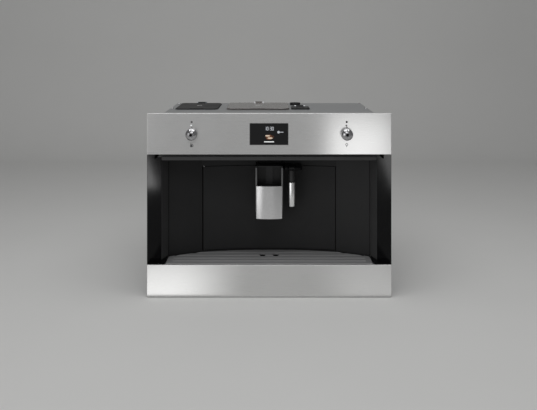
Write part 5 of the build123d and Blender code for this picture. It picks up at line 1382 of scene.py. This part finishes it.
@dataclass
class Viewpoint:
    """The camera, where the photograph was taken from.

    Attributes:
        distance: From the steel front to the camera.
        x: Sideways place.
        z: Height.
        sensor: Width of the picture in the camera, in millimetres.
        focal: Focal length in millimetres.
        rise: Vertical shift, as a share of the picture's width.
        clip: Distances within which the camera sees.
    """

    distance: float = 1.660
    x: float = -0.0017
    z: float = 0.6287
    sensor: float = 36.0
    focal: float = 45.59
    rise: float = -0.3073
    clip: Range = (0.01, 50.0)

    def build(self) -> None:
        """Place the camera, level and square to the front."""
        data = bpy.data.cameras.new("viewpoint")
        data.sensor_width = self.sensor
        data.lens = self.focal
        data.shift_y = self.rise
        data.clip_start, data.clip_end = self.clip
        camera = bpy.data.objects.new("viewpoint", data)
        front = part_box("control_fascia")[0].y
        camera.matrix_world = on_face(self.x, self.z, front - self.distance)
        bpy.context.scene.collection.objects.link(camera)
        bpy.context.scene.camera = camera


@dataclass(frozen=True)
class Card:
    """A soft lamp.

    Attributes:
        name: Name of the lamp.
        place: Where it stands.
        aim: The point that it looks at.
        size: Width and height.
        power: Power in watts.
        roll: Turn about its own axis, in degrees.
        only: Names of the CAD nodes that it lights; all where there are none.
        fade: Where along its width it is dark and where bright, or None for an even lamp.
    """

    name: str
    place: Point
    aim: Point
    size: Range
    power: float
    roll: float = 0.0
    only: tuple[str, ...] = ()
    fade: Range | None = None


def foot_card(name: str, x: float, width: float, power: float, fade: Range) -> Card:
    """Return a lamp that lies before the lower panel, looks up, and lights only that panel."""
    place, aim = (x, -0.298, 0.006), (x, -0.278, 1.0)
    return Card(name, place, aim, (width, 0.24), power, 0.0, ("drawer_front",), fade)


FASCIA = ("control_fascia",)
CARDS = (
    Card("top_light", (0.0, -0.5, 2.0), (0.0, -0.1, 0.2), (2.2, 1.2), 16.5),
    Card("high_front", (0.0, -2.4, 2.2), (0.0, 0.0, 0.2), (2.0, 1.0), 13.0),
    Card("front_fill", (0.0, -3.2, 0.5), (0.0, 0.0, 0.3), (1.5, 2.0), 1.7),
    Card("near_right", (0.285, -0.62, 0.29), (0.27, -0.17, 0.31), (0.2, 0.16), 0.17, 0.0, FASCIA),
    Card("left_far", (-1.8, -2.4, 0.4), (0.0, -0.15, 0.3), (1.9, 1.6), 13.5),
    foot_card("foot_left", -0.2, 0.28, 0.178, (1.05, 0.3)),
    foot_card("foot_right", 0.215, 0.23, 0.033, (0.0, 0.6)),
    Card("low_right", (0.9, -0.52, 0.06), (-0.28, -0.14, 0.28), (0.22, 0.2), 1.8, 20.0, CHEEKS),
    Card("low_left", (-0.9, -0.515, 0.1), (0.28, -0.14, 0.28), (0.22, 0.2), 1.15, 22.0, CHEEKS),
)


@dataclass
class Studio:
    """Pale floor and backdrop, grey surroundings and soft lamps.

    Attributes:
        world_grey: Brightness of the surroundings.
        floor: Half the width and half the depth of the floor.
        floor_shift: How far back its middle lies.
        bend: Radius of the bend between floor and backdrop.
        bend_steps: Steps of that bend.
        wall: Height of the backdrop over the bend.
    """

    world_grey: float = 0.2
    floor: Range = (4.0, 1.3)
    floor_shift: float = 0.35
    bend: float = 0.6
    bend_steps: int = 16
    wall: float = 2.0

    def build(self) -> None:
        """Make the floor, the world and the lamps."""
        self._floor()
        self._world()
        for card in CARDS:
            self._lamp(card)
        bpy.context.scene.view_settings.view_transform = "Standard"

    def _floor(self) -> None:
        """Lay one sheet: a floor that curves up into a backdrop behind the machine."""
        mesh = bmesh.new()
        size = Matrix.Diagonal((*self.floor, 1.0, 1.0))
        bmesh.ops.create_grid(mesh, x_segments=1, y_segments=1, size=1.0, matrix=size)
        bmesh.ops.translate(mesh, vec=(0, self.floor_shift, 0), verts=mesh.verts[:])
        back = max(mesh.edges, key=lambda edge: sum(vert.co.y for vert in edge.verts))
        centre = (0.0, self.floor[1] + self.floor_shift, self.bend)
        spin(mesh, [back, *back.verts], 90.0, self.bend_steps, centre, (1.0, 0.0, 0.0))
        top = max(mesh.edges, key=lambda edge: sum(vert.co.z for vert in edge.verts))
        lifted = bmesh.ops.extrude_edge_only(mesh, edges=[top])["geom"]
        rise = [part for part in lifted if isinstance(part, bmesh.types.BMVert)]
        bmesh.ops.translate(mesh, vec=(0, 0, self.wall), verts=rise)
        bmesh.ops.remove_doubles(mesh, verts=mesh.verts[:], dist=1e-5)
        bmesh.ops.recalc_face_normals(mesh, faces=mesh.faces[:])
        stock("studio_floor", mesh, Palette.PAPER, None, 180.0)

    def _world(self) -> None:
        """Set even grey surroundings."""
        world = bpy.data.worlds.new("studio_world")
        world.use_nodes = True
        grey = world.node_tree.nodes["Background"]
        grey.inputs["Color"].default_value = (*(self.world_grey,) * 3, 1.0)
        grey.inputs["Strength"].default_value = 1.0
        bpy.context.scene.world = world

    def _lamp(self, card: Card) -> None:
        """Make one soft lamp.

        Args:
            card: Its place, size and power.
        """
        data = bpy.data.lights.new(card.name, "AREA")
        data.shape = "RECTANGLE"
        data.size, data.size_y = card.size
        data.energy = card.power
        lamp = bpy.data.objects.new(card.name, data)
        lamp.visible_camera = False
        towards = Vector(card.aim) - Vector(card.place)
        facing = towards.to_track_quat("-Z", "Y").to_matrix().to_4x4()
        lamp.matrix_world = at(*card.place) @ facing @ rotate(card.roll, "Z")
        if card.only:
            lit = bpy.data.collections.new(f"{card.name}_lights")
            for name in card.only:
                lit.objects.link(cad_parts[name])
            lamp.light_linking.receiver_collection = lit
        if card.fade:
            self._fade(data, card.fade)
        bpy.context.scene.collection.objects.link(lamp)

    def _fade(self, data: bpy.types.Light, ends: Range) -> None:
        """Let a lamp fade out along its width.

        Args:
            data: The lamp.
            ends: Where along the width it is dark, and where it is bright, from 0 to 1.
        """
        data.use_nodes = True
        tree = data.node_tree
        spot = tree.nodes.new("ShaderNodeNewGeometry")
        split = tree.nodes.new("ShaderNodeSeparateXYZ")
        fall = tree.nodes.new("ShaderNodeMapRange")
        fall.interpolation_type = "SMOOTHSTEP"
        fall.inputs["From Min"].default_value, fall.inputs["From Max"].default_value = ends
        tree.links.new(spot.outputs["Parametric"], split.inputs["Vector"])
        tree.links.new(split.outputs["X"], fall.inputs["Value"])
        tree.links.new(fall.outputs["Result"], tree.nodes["Emission"].inputs["Strength"])


def main() -> None:
    """Dress the machine, build its own pieces and set up the studio."""
    logging.basicConfig(level=logging.INFO, format="%(name)s: %(message)s")
    for part in (
        Viewpoint(),
        Casing(),
        Knob("left"),
        Knob("right"),
        PanelSigns(),
        DisplaySigns(),
        Wand(),
        Dispenser(),
        Fasteners(),
        TopMarks(),
        Studio(),
    ):
        part.build()


if __name__ == "__main__":
    main()
